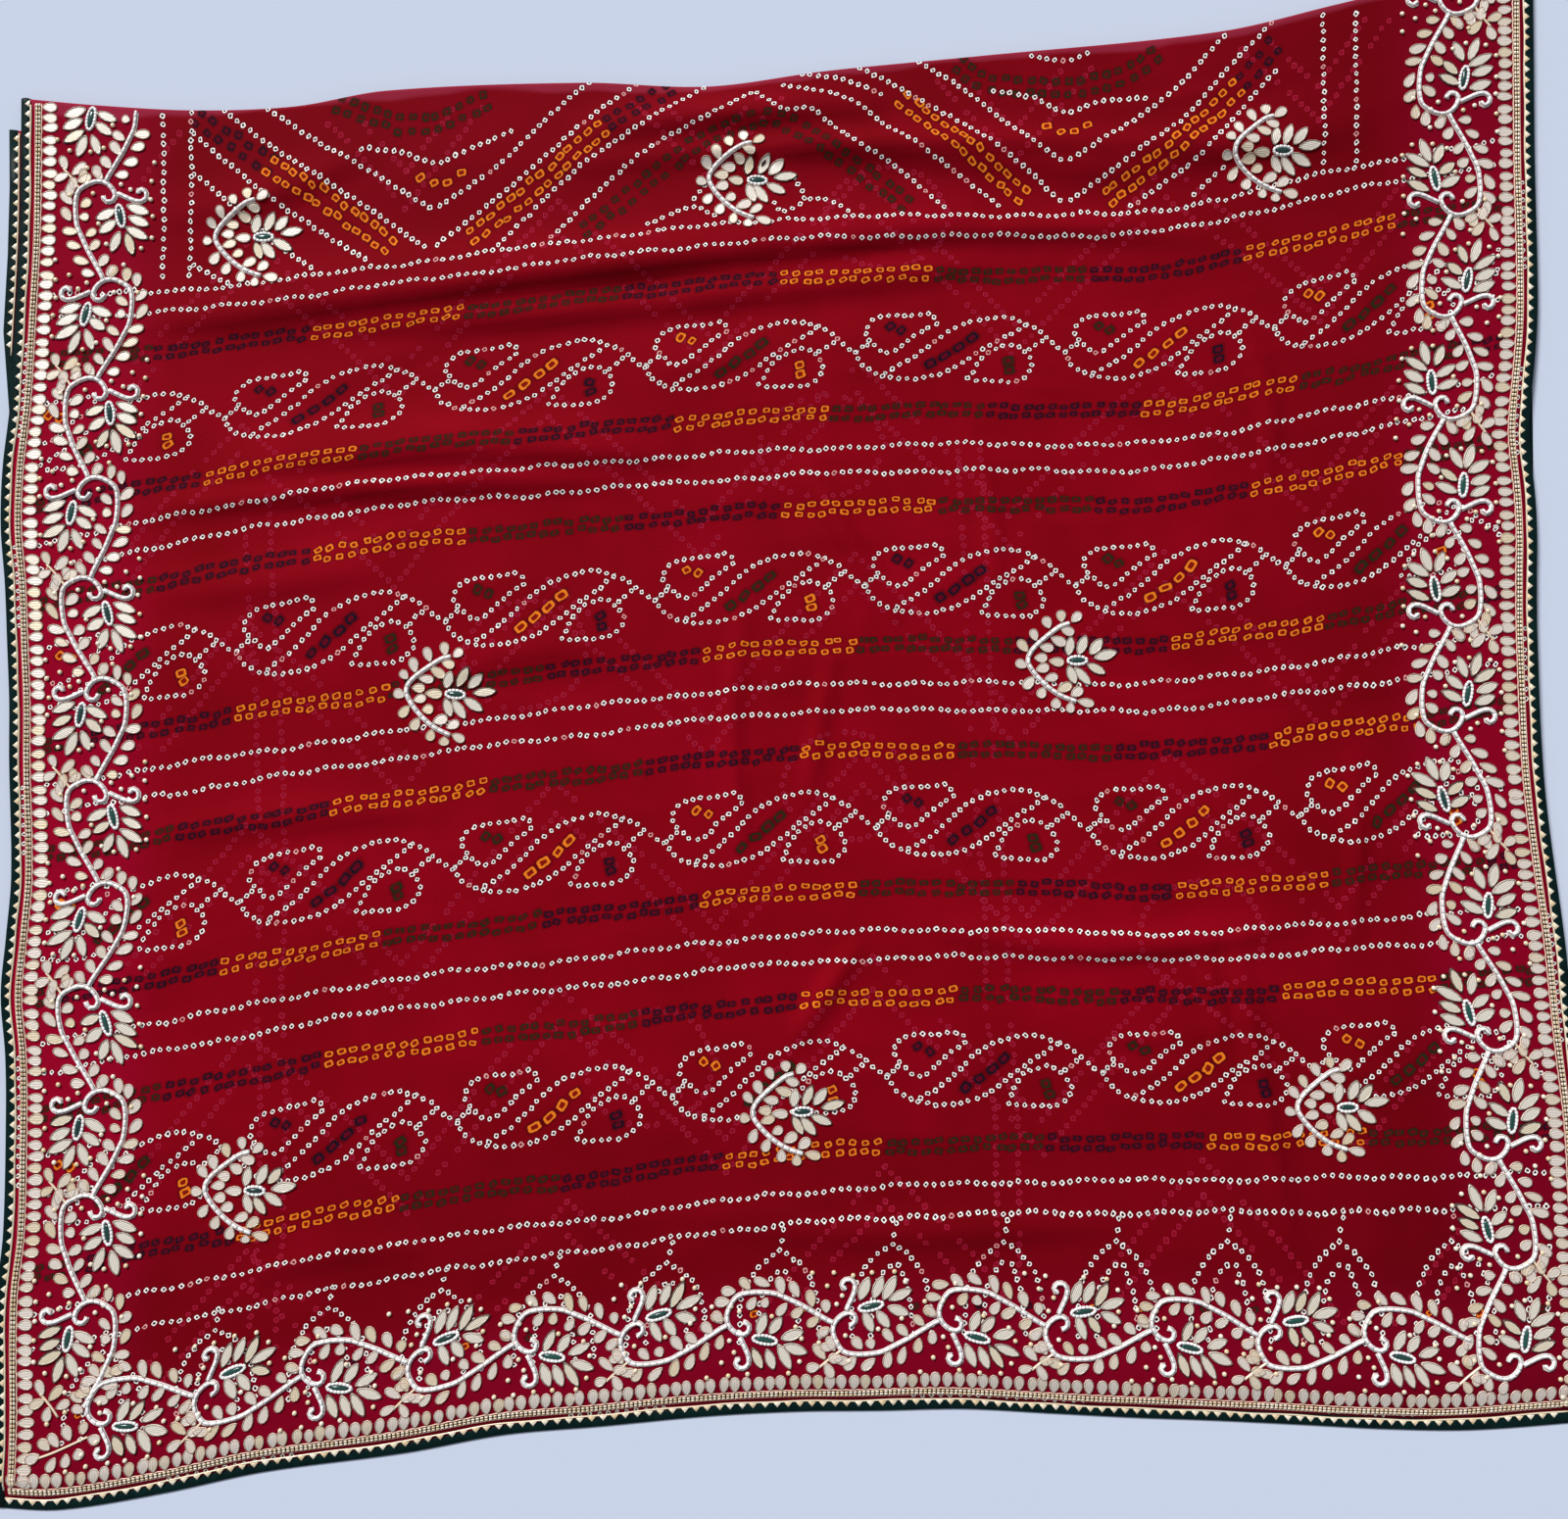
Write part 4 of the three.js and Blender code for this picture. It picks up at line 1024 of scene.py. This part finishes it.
def putRope(work, line, width, height, kind, place, above=-0.1, level=None):
    # A low cord along a line of places.
    line = np.asarray(line, float)
    line = line[beforeFold(place, line)]
    if len(line) < 3:
        return
    way = np.gradient(line, axis=0)
    way /= np.linalg.norm(way, axis=1, keepdims=True) + 1e-9
    two = np.stack([-way[:, 1], way[:, 0]], -1)
    section = np.array([(-0.5, 0.0), (-0.36, 0.75), (0.0, 1.0), (0.36, 0.75), (0.5, 0.0)])
    spot = line[:, None] + two[:, None] * section[None, :, :1] * width
    x, y = place(spot[..., 0], spot[..., 1])
    z = (groundAt(x, y) if level is None else np.full(x.shape, level)) + above + section[None, :, 1] * height
    n, m = len(line), len(section)
    index = np.arange(n * m).reshape(n, m)
    a, b = index[:-1], index[1:]
    a2, b2 = np.roll(a, -1, axis=1), np.roll(b, -1, axis=1)
    sides = np.concatenate([np.stack([a, b, b2], -1).reshape(-1, 3), np.stack([a, b2, a2], -1).reshape(-1, 3)])
    caps = [(0, k, k + 1) for k in range(1, m - 1)]
    caps += [(index[-1, 0], index[-1, k + 1], index[-1, k]) for k in range(1, m - 1)]
    faces = np.concatenate([sides, np.array(caps)])
    length = np.concatenate([[0], np.cumsum(np.linalg.norm(np.diff(line, axis=0), axis=1))])
    flat = np.stack(np.broadcast_arrays(length[:, None], section[None, :, 0] * width), -1)
    addToWork(
        work, np.stack([x, y, z], -1).reshape(-1, 3), faces, np.full(len(faces), kind),
        flat.reshape(-1, 2), np.full(len(faces), 0.5),
    )


def beadString(work, line, pitch, beadLength, width, height, shape, place, above=-0.1):
    places, ways = smoothPath(line, pitch)
    places = (places[1:] + places[:-1]) / 2
    way = np.stack([np.cos((ways[1:] + ways[:-1]) / 2), np.sin((ways[1:] + ways[:-1]) / 2)], -1)
    flip = abs(ways[1:] - ways[:-1]) > np.pi
    way[flip] *= -1
    n = len(places)
    half = beadLength / 2 * rng.uniform(0.92, 1.06, (n, 1))
    putItems(
        work, shape, places - way * half, places + way * half, width * rng.uniform(0.92, 1.08, n), height,
        place, above,
    )


def finishWork(name, work, materials, node):
    points, faces = np.concatenate(work["points"]), np.concatenate(work["faces"])
    piece = newPiece(name, points, faces, materials)
    piece.data.polygons.foreach_set("material_index", np.concatenate(work["kinds"]).astype(np.int32))
    flat = np.concatenate(work["flat"])[faces.reshape(-1)] * 0.001
    layer = piece.data.uv_layers.new(name="flat")
    layer.data.foreach_set("uv", flat.astype(np.float32).reshape(-1))
    tone = piece.data.attributes.new("tone", "FLOAT", "FACE")
    tone.data.foreach_set("value", np.concatenate(work["tone"]).astype(np.float32))
    piece.data.update()
    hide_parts(node)
    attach(piece, "root")
    print(name, len(faces), "triangles")


# Gota: flat metal ribbon folded into leaves, finely ribbed, from worn silver to warm gold.
def ribbonMaterial(name, pale, warm, warmFrom, metal, ribMm):
    material, tree = newMaterial(name)
    flatMap = addNode(tree, "UVMap", {"uv_map": "flat"})
    flatMm = addNode(tree, "VectorMath", {"operation": "SCALE", "Scale": 1000.0}, {0: flatMap})
    tone = addNode(tree, "Attribute", {"attribute_name": "tone"})
    mottle = addNode(tree, "TexNoise", {"Scale": 0.35, "Detail": 3.0}, {"Vector": flatMm})
    added = addNode(tree, "Math", {"operation": "MULTIPLY_ADD", 1: 0.5}, {0: mottle, 2: tone.outputs["Fac"]})
    warmth = addNode(tree, "MapRange", {"From Min": warmFrom, "From Max": warmFrom + 0.55}, {"Value": added})
    colour = addNode(tree, "Mix", {"data_type": "RGBA", 6: hexColour(pale), 7: hexColour(warm)}, {0: warmth})
    ribs = addNode(
        tree, "TexWave",
        {"bands_direction": "Y", "Scale": 1 / (20 * ribMm) * 6.28, "Distortion": 1.5, "Detail Scale": 0.6},
        {"Vector": flatMm},
    )
    # Painted shade and highlight: the colour is darker in the grooves between the ribs and a little lighter on
    # their tops.
    shade = addNode(tree, "MapRange", {"To Min": 0.7, "To Max": 1.06}, {"Value": ribs.outputs["Fac"]})
    ribbed = addNode(tree, "VectorMath", {"operation": "SCALE"}, {0: colour.outputs[2], "Scale": shade})
    bump = addNode(tree, "Bump", {"Strength": 0.5, "Distance": 0.0003}, {"Height": ribs.outputs["Fac"]})
    surface = addNode(
        tree, "BsdfPrincipled", {"Metallic": metal, "Roughness": 0.42},
        {"Base Color": ribbed, "Normal": bump},
    )
    addNode(tree, "OutputMaterial", {}, {"Surface": surface})
    return material


def beadMaterial(name, colour, other, rough, metal, coat):
    # Glass or metal beads, each a little different in tone.
    material, tree = newMaterial(name)
    tone = addNode(tree, "Attribute", {"attribute_name": "tone"})
    mixed = addNode(
        tree, "Mix", {"data_type": "RGBA", 6: hexColour(colour), 7: hexColour(other)}, {0: tone.outputs["Fac"]},
    )
    surface = addNode(
        tree, "BsdfPrincipled",
        {"Roughness": rough, "Metallic": metal, "Coat Weight": coat, "Coat Roughness": 0.15},
        {"Base Color": mixed.outputs[2]},
    )
    addNode(tree, "OutputMaterial", {}, {"Surface": surface})
    return material


gota = ribbonMaterial("gota_ribbon_ribbed", "#ECDFD2", "#E8D2A6", 0.85, 0.12, 1.1)
gotaPetal = ribbonMaterial("gota_petal_folded", "#EEE4D4", "#E6D4AA", 0.9, 0.12, 1.2)
zariThread = beadMaterial("zari_thread_couched", "#F8DCC8", "#E8C2A6", 0.45, 0.1, 0.0)
whiteGlass = beadMaterial("white_bugle_glass", "#FFFDFA", "#ECEAE8", 0.2, 0.0, 0.4)
goldGlass = beadMaterial("gold_lined_bead", "#FBF0DA", "#E6CCA0", 0.3, 0.1, 0.3)
eyeGlass = beadMaterial("bottle_green_bugle", "#174A40", "#0F332E", 0.2, 0.0, 0.4)
# Painted shade: a dark material laid round leaves, under stems and under the bead rows.
underShade = beadMaterial("dark_painted_shade_under_work", "#3A1410", "#2C0E0C", 0.8, 0.0, 0.0)
petalRim = ribbonMaterial("sugar_bead_edging", "#F2DCC8", "#5A3226", 0.62, 0.05, 1.4)
workMaterials = [gota, zariThread, whiteGlass, goldGlass, eyeGlass, gotaPetal, underShade, petalRim]

# Satin piping: a bright folded bias strip, dark bottle green.
satin, tree = newMaterial("bias_satin_bottle_green")
satinPlace = addNode(tree, "TexCoord")
satinFold = addNode(tree, "TexNoise", {"Scale": 90.0, "Detail": 3.0}, {"Vector": satinPlace.outputs["Object"]})
# Painted shade and sheen: the colour goes from near black to dark green with the noise that also bumps the
# folds.
satinShade = addNode(
    tree, "Mix", {"data_type": "RGBA", 6: hexColour("#020A0C"), 7: hexColour("#0C2826")}, {0: satinFold},
)
satinBump = addNode(tree, "Bump", {"Strength": 0.5, "Distance": 0.0015}, {"Height": satinFold})
surface = addNode(
    tree, "BsdfPrincipled", {"Roughness": 0.45, "Specular IOR Level": 0.06},
    {"Base Color": satinShade.outputs[2], "Normal": satinBump},
)
addNode(tree, "OutputMaterial", {}, {"Surface": surface})

piping = {"width": 6.6, "rise": 0.8, "profile": [0.0, 0.5, 1.6, 3.3, 5.0, 6.1, 6.6]}
profile = np.array(piping["profile"])
pipingRise = half + piping["rise"] * np.sin(np.pi * np.clip(profile / piping["width"], 0.02, 0.98)) ** 0.6
pipingMeshes = []
for columns in (profile, cloth["width"] - profile[::-1]):
    rise = pipingRise if columns[0] == 0 else pipingRise[::-1]
    sidePath = clothPath(columns, 0.4)
    pipingMeshes.append(closedSheet(offsetPath(sidePath, rise[None, :]), offsetPath(sidePath, -half)))
hemAcross = np.linspace(0.5, cloth["width"] - 0.5, 190)[None, :]
hemX, hemY = frontPlan(hemAcross, profile[:, None])
hemZ = frontHeight(hemAcross, profile[:, None], hemX, hemY)
pipingMeshes.append(closedSheet(
    np.stack([hemX, hemY, hemZ + pipingRise[:, None]], -1), np.stack([hemX, hemY, hemZ - half], -1),
))
pipingPoints, pipingFaces, count = [], [], 0
for meshPoints, meshFaces in pipingMeshes:
    pipingPoints.append(meshPoints)
    pipingFaces.append(meshFaces + count)
    count += len(meshPoints)
pipingPiece = newPiece("satin_piping", np.concatenate(pipingPoints), np.concatenate(pipingFaces), [satin])
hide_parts("piping_left", "piping_right", "piping_hem")
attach(pipingPiece, "root")
print("piping made")

# Straight trims of the border: width in from the edge, for each of the three edges.
border = {
    "line": 7.1, "lineWidth": 1.2, "toothRoot": 6.8, "toothTip": 2.9, "toothPitch": 8.2, "toothWidth": 6.0,
    "beadRows": (11.8, 13.7), "beadPitch": 3.1, "beadLength": 2.2, "underShade": 12.7, "thread": 10.5,
    "scallop": 15.5, "leafRoot": 15.6, "leafTip": 26.6, "leafWidth": 7.4,
}
edges = {
    "left": {"from": 5, "to": 1003, "leaves": 119, "units": 13, "start": 22.5, "pitch": 73.7},
    "hem": {"from": 14, "to": 1112, "leaves": 132, "units": 13, "start": 102, "pitch": 75.0},
    "right": {"from": 10, "to": 1052, "leaves": 124, "units": 14, "start": 61, "pitch": 76.3},
}
lace, beadLine = newWork(), newWork()
for side, sizes in edges.items():
    place = edgePlan(side)
    t = np.arange(sizes["from"] - 3, sizes["to"] + 4, 4.0)
    putRope(
        lace, np.stack([t, border["line"] + 0.25 * np.sin(t / 9)], -1), border["lineWidth"], 0.9, goldKind,
        place, 0.2,
    )
    t = np.arange(sizes["from"], sizes["to"], border["toothPitch"])
    t = t + rng.normal(0, 0.35, len(t))
    root = np.stack([t, np.full(len(t), border["toothRoot"])], -1)
    tip = np.stack([t, np.full(len(t), border["toothTip"])], -1)
    putItems(lace, tooth, root, tip, border["toothWidth"], 0.5, place, piping["rise"])
    for w in border["beadRows"]:
        t = np.arange(sizes["from"], sizes["to"], border["beadPitch"])
        wave = w + 0.2 * np.sin(t / 14)
        putItems(
            beadLine, goldBugle, np.stack([t, wave], -1), np.stack([t + border["beadLength"], wave], -1), 1.5,
            1.3, place, 0.1,
        )
    t = np.arange(sizes["from"], sizes["to"], 4.0)
    # A dark band under the bead rows: painted shade.
    putRope(beadLine, np.stack([t, np.full(len(t), border["underShade"])], -1), 3.6, 0.35, shadeKind, place)
    t = np.arange(sizes["from"], sizes["to"], 2.1)
    scallop = border["scallop"] - 0.5 * abs(np.sin(np.pi * t / 8.5))
    putRope(beadLine, np.stack([t, scallop], -1), 0.9, 0.7, threadKind, place)
    putRope(beadLine, np.stack([t, np.full(len(t), border["thread"])], -1), 0.7, 0.6, threadKind, place)


def peekPlan(t, w):
    # The left edge of the bottom layer, where it shows.
    y = cloth["peek"]["top"] - t
    return edge(leftEdge, y) - cloth["peek"]["out"] + w, y


underLevel = cloth["bottomHeight"] + half
t = np.arange(4, cloth["peek"]["length"], border["toothPitch"])
root = np.stack([t, np.full(len(t), border["toothRoot"])], -1)
tip = np.stack([t, np.full(len(t), border["toothTip"])], -1)
putItems(lace, tooth, root, tip, border["toothWidth"], 0.5, peekPlan, piping["rise"], underLevel)
t = np.arange(0, cloth["peek"]["length"] + 6, 4.0)
putRope(
    lace, np.stack([t, np.full(len(t), border["line"])], -1), border["lineWidth"], 0.9, goldKind, peekPlan, 0.2,
    underLevel,
)
finishWork("gold_lace_and_teeth", lace, workMaterials, "gold_lace")
finishWork("bugle_bead_rows", beadLine, workMaterials, "bead_line")

# One unit of the vine: along the edge from the joint, and towards the side it bulges to.
vine = {
    "middle": 63.0, "stemWidth": 2.4, "leafWidth": 6.6, "sprigLeafWidth": 6.4, "beadSize": 3.6,
    "stem": [
        (11.9, 2.1), (15.8, 0.4), (16.3, -4.1), (13.3, -6.9), (8.4, -6), (4, -2.8), (1, 1.9), (0.7, 7.9),
        (3.5, 14.6), (7.9, 20.2), (15.3, 22.1), (25.2, 22.1), (35.1, 20.7), (43, 17.2), (52.9, 12.5),
        (62.7, 6.9), (72.6, 1.2), (75.6, 0),
    ],
    "tendril": [
        (9.9, -8.6), (12.8, -14.8), (15.8, -21.9), (15.8, -27.8), (11.4, -30.5), (7.4, -28.2), (6.9, -24.2),
        (9.9, -23.9),
    ],
    "eye": [(17.8, -9.2), (37, -13)],
    "petals": [
        (22.2, -7.5, 29.1, 7.8), (31.1, -8.2, 40, 4.1), (39, -10.7, 54.3, -4.9), (40, -14.7, 57.3, -21.4),
        (36, -15.4, 45.4, -32.4), (28.2, -16.8, 35, -32.1), (19.3, -15.2, 25.7, -31.5),
    ],
    "leaves": [
        (-1, 4.5, -10.4, 8.6), (2.5, 16.6, -8.4, 16.9), (6.9, 24.7, -4, 24.5), (17.3, 24.9, 8.9, 32.5),
        (30.6, 26, 20.7, 32.6), (40.5, 19.8, 37.5, 32.4), (51.4, 17.6, 47.4, 28.7), (62.2, 11.9, 58.8, 23),
        (71.1, 6.8, 70.6, 16.2), (20.7, 19.3, 14.3, 10.8), (28.7, 18.7, 26.2, 11.5), (43, 14.2, 37, 6.2),
        (54.8, 10.4, 45.9, 3.6), (65.7, 3.2, 57.3, -2.6), (73.1, -2.3, 65.7, -9.6),
    ],
    "beads": [
        (9.4, 8.7), (32.6, 4.6), (6.9, -18.3), (-3.5, -25.4), (-13.3, -35.6), (0.8, -34.8), (14.8, -34),
        (28.2, -34.9), (44, -34.8), (51.7, -27.4), (53.4, -12.2), (49.4, -2.5), (65.2, -14), (78.5, -13.5),
        (86.9, -26.5), (78.1, 11),
    ],
    "sprigStem": [(82.5, -18.7), (77.5, -22), (71.5, -26.5), (65.7, -31.4)],
    "cornerStem": [(33, 37), (46, 41), (58, 45), (70, 49)],
    "cornerLeaves": [
        (36, 40, 27, 35), (43, 43, 35, 51), (50, 45, 44, 55), (58, 48, 54, 59), (66, 50, 67, 60),
        (47, 38, 43, 28), (55, 40, 54, 30), (63, 43, 65, 33), (70, 48, 79, 45),
    ],
    "sprigLeaves": [
        (76.5, -20.5, 71.5, -10.5), (70.5, -25, 60.5, -15.5), (66.5, -29.5, 56.5, -33), (70, -28, 75.5, -38),
        (75, -25.5, 86.5, -27.5),
    ],
}


lotus = {
    "ringReach": 0.93, "ringSide": 2.9, "pitch": 2.7, "bead": (2.5, 2.3, 1.7),
    "eyeReach": 0.62, "eye": (3.5, 1.9), "petalWidth": (6.8, 7.8), "petalHeight": 1.4,
}


def sewLotus(work, eye, petals, place):
    # A green bugle in a ring of white beads, with petals round it.
    eye = np.asarray(eye, float)
    middle, reach = eye.mean(0), (eye[1] - eye[0]) / 2
    across = np.array([-reach[1], reach[0]]) / np.linalg.norm(reach)
    turns = np.linspace(0, 2 * np.pi, 29)
    ring = middle + reach * lotus["ringReach"] * np.cos(turns)[:, None]
    ring = ring + across * lotus["ringSide"] * np.sin(turns)[:, None]
    beadString(work, ring, lotus["pitch"], *lotus["bead"], whiteBugle, place)
    half = reach * lotus["eyeReach"]
    putItems(work, eyeBugle, middle - half, middle + half, *lotus["eye"], place)
    petals = np.asarray(petals, float).reshape(-1, 4)
    petals = petals + rng.normal(0, 0.5, petals.shape)
    widths = rng.uniform(*lotus["petalWidth"], len(petals))
    putItems(work, pointedLeaf, petals[:, :2], petals[:, 2:], widths, lotus["petalHeight"], place)


def sewLeaves(work, leaves, width, place):
    leaves = np.asarray(leaves, float).reshape(-1, 4)
    leaves = leaves + rng.normal(0, 0.55, leaves.shape)
    putItems(
        work, roundLeaf, leaves[:, :2], leaves[:, 2:], width * rng.uniform(0.92, 1.12, len(leaves)), 1.3, place,
    )


def sewStem(work, line, width, place):
    # White bugles over a padded cord, with a metal thread laid along each side.
    dense, ways = smoothPath(line, 2.6)
    # A dark rope wider than the stem, under it: painted shade round the stem.
    putRope(work, dense, width + 1.5, 0.35, shadeKind, place)
    putRope(work, dense, width * 0.85, 0.9, threadKind, place)
    normal = np.stack([-np.sin(ways), np.cos(ways)], -1)
    for way in (-1, 1):
        putRope(work, dense + normal * way * (width / 2 + 0.25), 0.6, 0.9, whiteKind, place)
    beadString(work, line, 4.9, 4.6, width * 0.95, 2.0, whiteBugle, place, 0.1)


def sewTwig(work, line, leaves, width, place):
    # A thin gold stem with gota leaves at its sides.
    dense, ways = smoothPath(line, 2.0)
    putRope(work, dense, 1.8, 1.2, goldKind, place)
    sewLeaves(work, leaves, width, place)


def sewBeads(work, spots, size, place):
    spots = np.asarray(spots, float) + rng.normal(0, 0.5, (len(spots), 2))
    keep = rng.random(len(spots)) > 0.1
    reach = np.array([size / 2, 0])
    putItems(work, goldRound, spots[keep] - reach, spots[keep] + reach, size, size * 0.55, place)


for side, sizes in edges.items():
    place = edgePlan(side)
    work = newWork()
    t = np.linspace(sizes["from"] + 2, sizes["to"] - 2, sizes["leaves"])
    t = t + rng.normal(0, 0.45, len(t))
    root = np.stack([t, np.full(len(t), border["leafRoot"])], -1)
    tip = np.stack([t + rng.normal(0, 0.8, len(t)), border["leafTip"] + rng.normal(0, 0.5, len(t))], -1)
    putItems(work, roundLeaf, root, tip, border["leafWidth"] * rng.uniform(0.88, 1.08, len(t)), 0.9, place)
    for k in range(sizes["units"]):
        origin = np.array([sizes["start"] - 33 + sizes["pitch"] * k, vine["middle"]])
        bulge = np.array([sizes["pitch"] / 75.0, 1 if k % 2 == 0 else -1])

        def onUnit(table):
            table = np.asarray(table, float)
            return (table.reshape(len(table), -1, 2) * bulge + origin).reshape(table.shape)

        sewStem(work, onUnit(vine["stem"]), vine["stemWidth"], place)
        sewStem(work, onUnit(vine["tendril"]), vine["stemWidth"], place)
        sewLotus(work, onUnit(vine["eye"]), onUnit(vine["petals"]), place)
        sewLeaves(work, onUnit(vine["leaves"]), vine["leafWidth"], place)
        sewBeads(work, onUnit(vine["beads"]), vine["beadSize"], place)
        if k % 2 == 0:
            sewTwig(work, onUnit(vine["sprigStem"]), onUnit(vine["sprigLeaves"]), vine["sprigLeafWidth"], place)
    if side == "hem":
        # A twig fills the left corner.
        sewTwig(work, vine["cornerStem"], vine["cornerLeaves"], 7.0, place)
    finishWork(f"vine_work_{side}", work, workMaterials, f"vine_{side}")

# Sprigs on the ground, about their middles.
sprig = {
    "stemWidth": 2.4, "leafWidth": 6.8,
    "places": {
        "top_left": (-390, 384), "top_middle": (-27, 427), "top_right": (360, 448), "middle_left": (-245, 47),
        "middle_right": (205, 71), "low_left": (-383, -307), "low_middle": (6, -252), "low_right": (394, -249),
    },
    "stem": [
        (2.4, 27.6), (-2.4, 26.7), (-8.5, 23), (-14, 18.8), (-20, 14), (-24.9, 9.1), (-27.9, 4.2),
        (-28.2, -0.6), (-25.5, -6), (-21.2, -11.5), (-15.8, -17), (-9.7, -21.9), (-3.6, -25.5),
        (2.4, -27.9), (6, -29.1),
    ],
    "leaves": [
        (3.6, 27.3, 10.9, 34), (-3, 28.8, -3.9, 37.6), (-12.4, 23.7, -15.8, 32.8), (-21.9, 14.6, -24.9, 24.3),
        (-27.9, 7.9, -33.4, 15.8), (-29.7, -3, -37.6, 0), (-25.5, -10.3, -31.6, -18.8),
        (-17.9, -17.9, -21.5, -26.7), (-8.5, -25.5, -9.1, -34), (1.8, -29.7, 1.8, -37),
        (7.3, -29.1, 18.2, -31.9), (-4.2, 23.7, 5.8, 20.6),
        (-10.9, 18.2, -1.2, 13.4), (-20, 10.3, -9.7, 9.7), (-24, 3, -14.3, 3.6), (-14, 0.6, -2.7, -0.6),
        (-23.1, -6.1, -13.1, -3.3), (-16.4, -13.1, -7.3, -10.3), (-7.3, -21.2, 3, -15.8),
        (2.4, -24.9, 11.2, -18.8),
    ],
    "eye": [(-0.6, 0.6), (15.2, 0.6)],
    "petals": [
        (0, 4.2, 3.3, 17.6), (8.5, 4.9, 15.2, 19.7), (15.8, 4.9, 25.8, 16.7), (19.4, 2.7, 36.7, 5.5),
        (14, -1.8, 27.9, -9.7), (6.1, -3, 15.8, -16.4), (0.3, -2.4, 5.8, -16.1),
    ],
}
for name, middle in sprig["places"].items():
    work = newWork()
    lean = rng.normal(0, 0.05)

    def onSprig(table):
        table = np.asarray(table, float)
        pairs = table.reshape(len(table), -1, 2)
        turnedX = pairs[..., 0] * math.cos(lean) - pairs[..., 1] * math.sin(lean) + middle[0]
        turnedY = pairs[..., 0] * math.sin(lean) + pairs[..., 1] * math.cos(lean) + middle[1]
        return np.stack([turnedX, turnedY], -1).reshape(table.shape)

    def floorPlan(x, y):
        return x, y

    sewStem(work, onSprig(sprig["stem"]), sprig["stemWidth"], floorPlan)
    sewLeaves(work, onSprig(sprig["leaves"]), sprig["leafWidth"], floorPlan)
    sewLotus(work, onSprig(sprig["eye"]), onSprig(sprig["petals"]), floorPlan)
    finishWork(f"sprig_work_{name}", work, workMaterials, f"sprig_{name}")

# Floor and light.
studio = {"floor": "#C9D1E2", "window": 3.95, "soft": 0.26, "room": 0.34, "from": (-1.3, 2.2, 1.85)}
floorMaterial, tree = newMaterial("matt_floor_sheet")
surface = addNode(
    tree, "BsdfPrincipled",
    {"Base Color": hexColour(studio["floor"]), "Roughness": 0.9, "Specular IOR Level": 0.1},
)
addNode(tree, "OutputMaterial", {}, {"Surface": surface})
floorMesh = bpy.data.meshes.new("floor")
floorMesh.from_pydata([(-4, -4, 0), (4, -4, 0), (4, 4, 0), (-4, 4, 0)], [], [(0, 1, 2, 3)])
floorMesh.materials.append(floorMaterial)
floorPiece = bpy.data.objects.new("floor", floorMesh)
bpy.context.scene.collection.objects.link(floorPiece)

world = bpy.data.worlds.new("soft_room")
world.use_nodes = True
world.node_tree.nodes["Background"].inputs[0].default_value = hexColour("#E6ECF8")
world.node_tree.nodes["Background"].inputs[1].default_value = studio["room"]
bpy.context.scene.world = world
lampData = bpy.data.lights.new("window_light", "SUN")
lampData.angle = studio["soft"]
lampData.energy = studio["window"]
lamp = bpy.data.objects.new("window_light", lampData)
lamp.location = studio["from"]
lamp.rotation_euler = (
    math.atan2(math.hypot(*studio["from"][:2]), studio["from"][2]), 0.0,
    math.atan2(studio["from"][0], -studio["from"][1]),
)
bpy.context.scene.collection.objects.link(lamp)
bpy.context.scene.view_settings.view_transform = "Standard"
print("floor and light set")
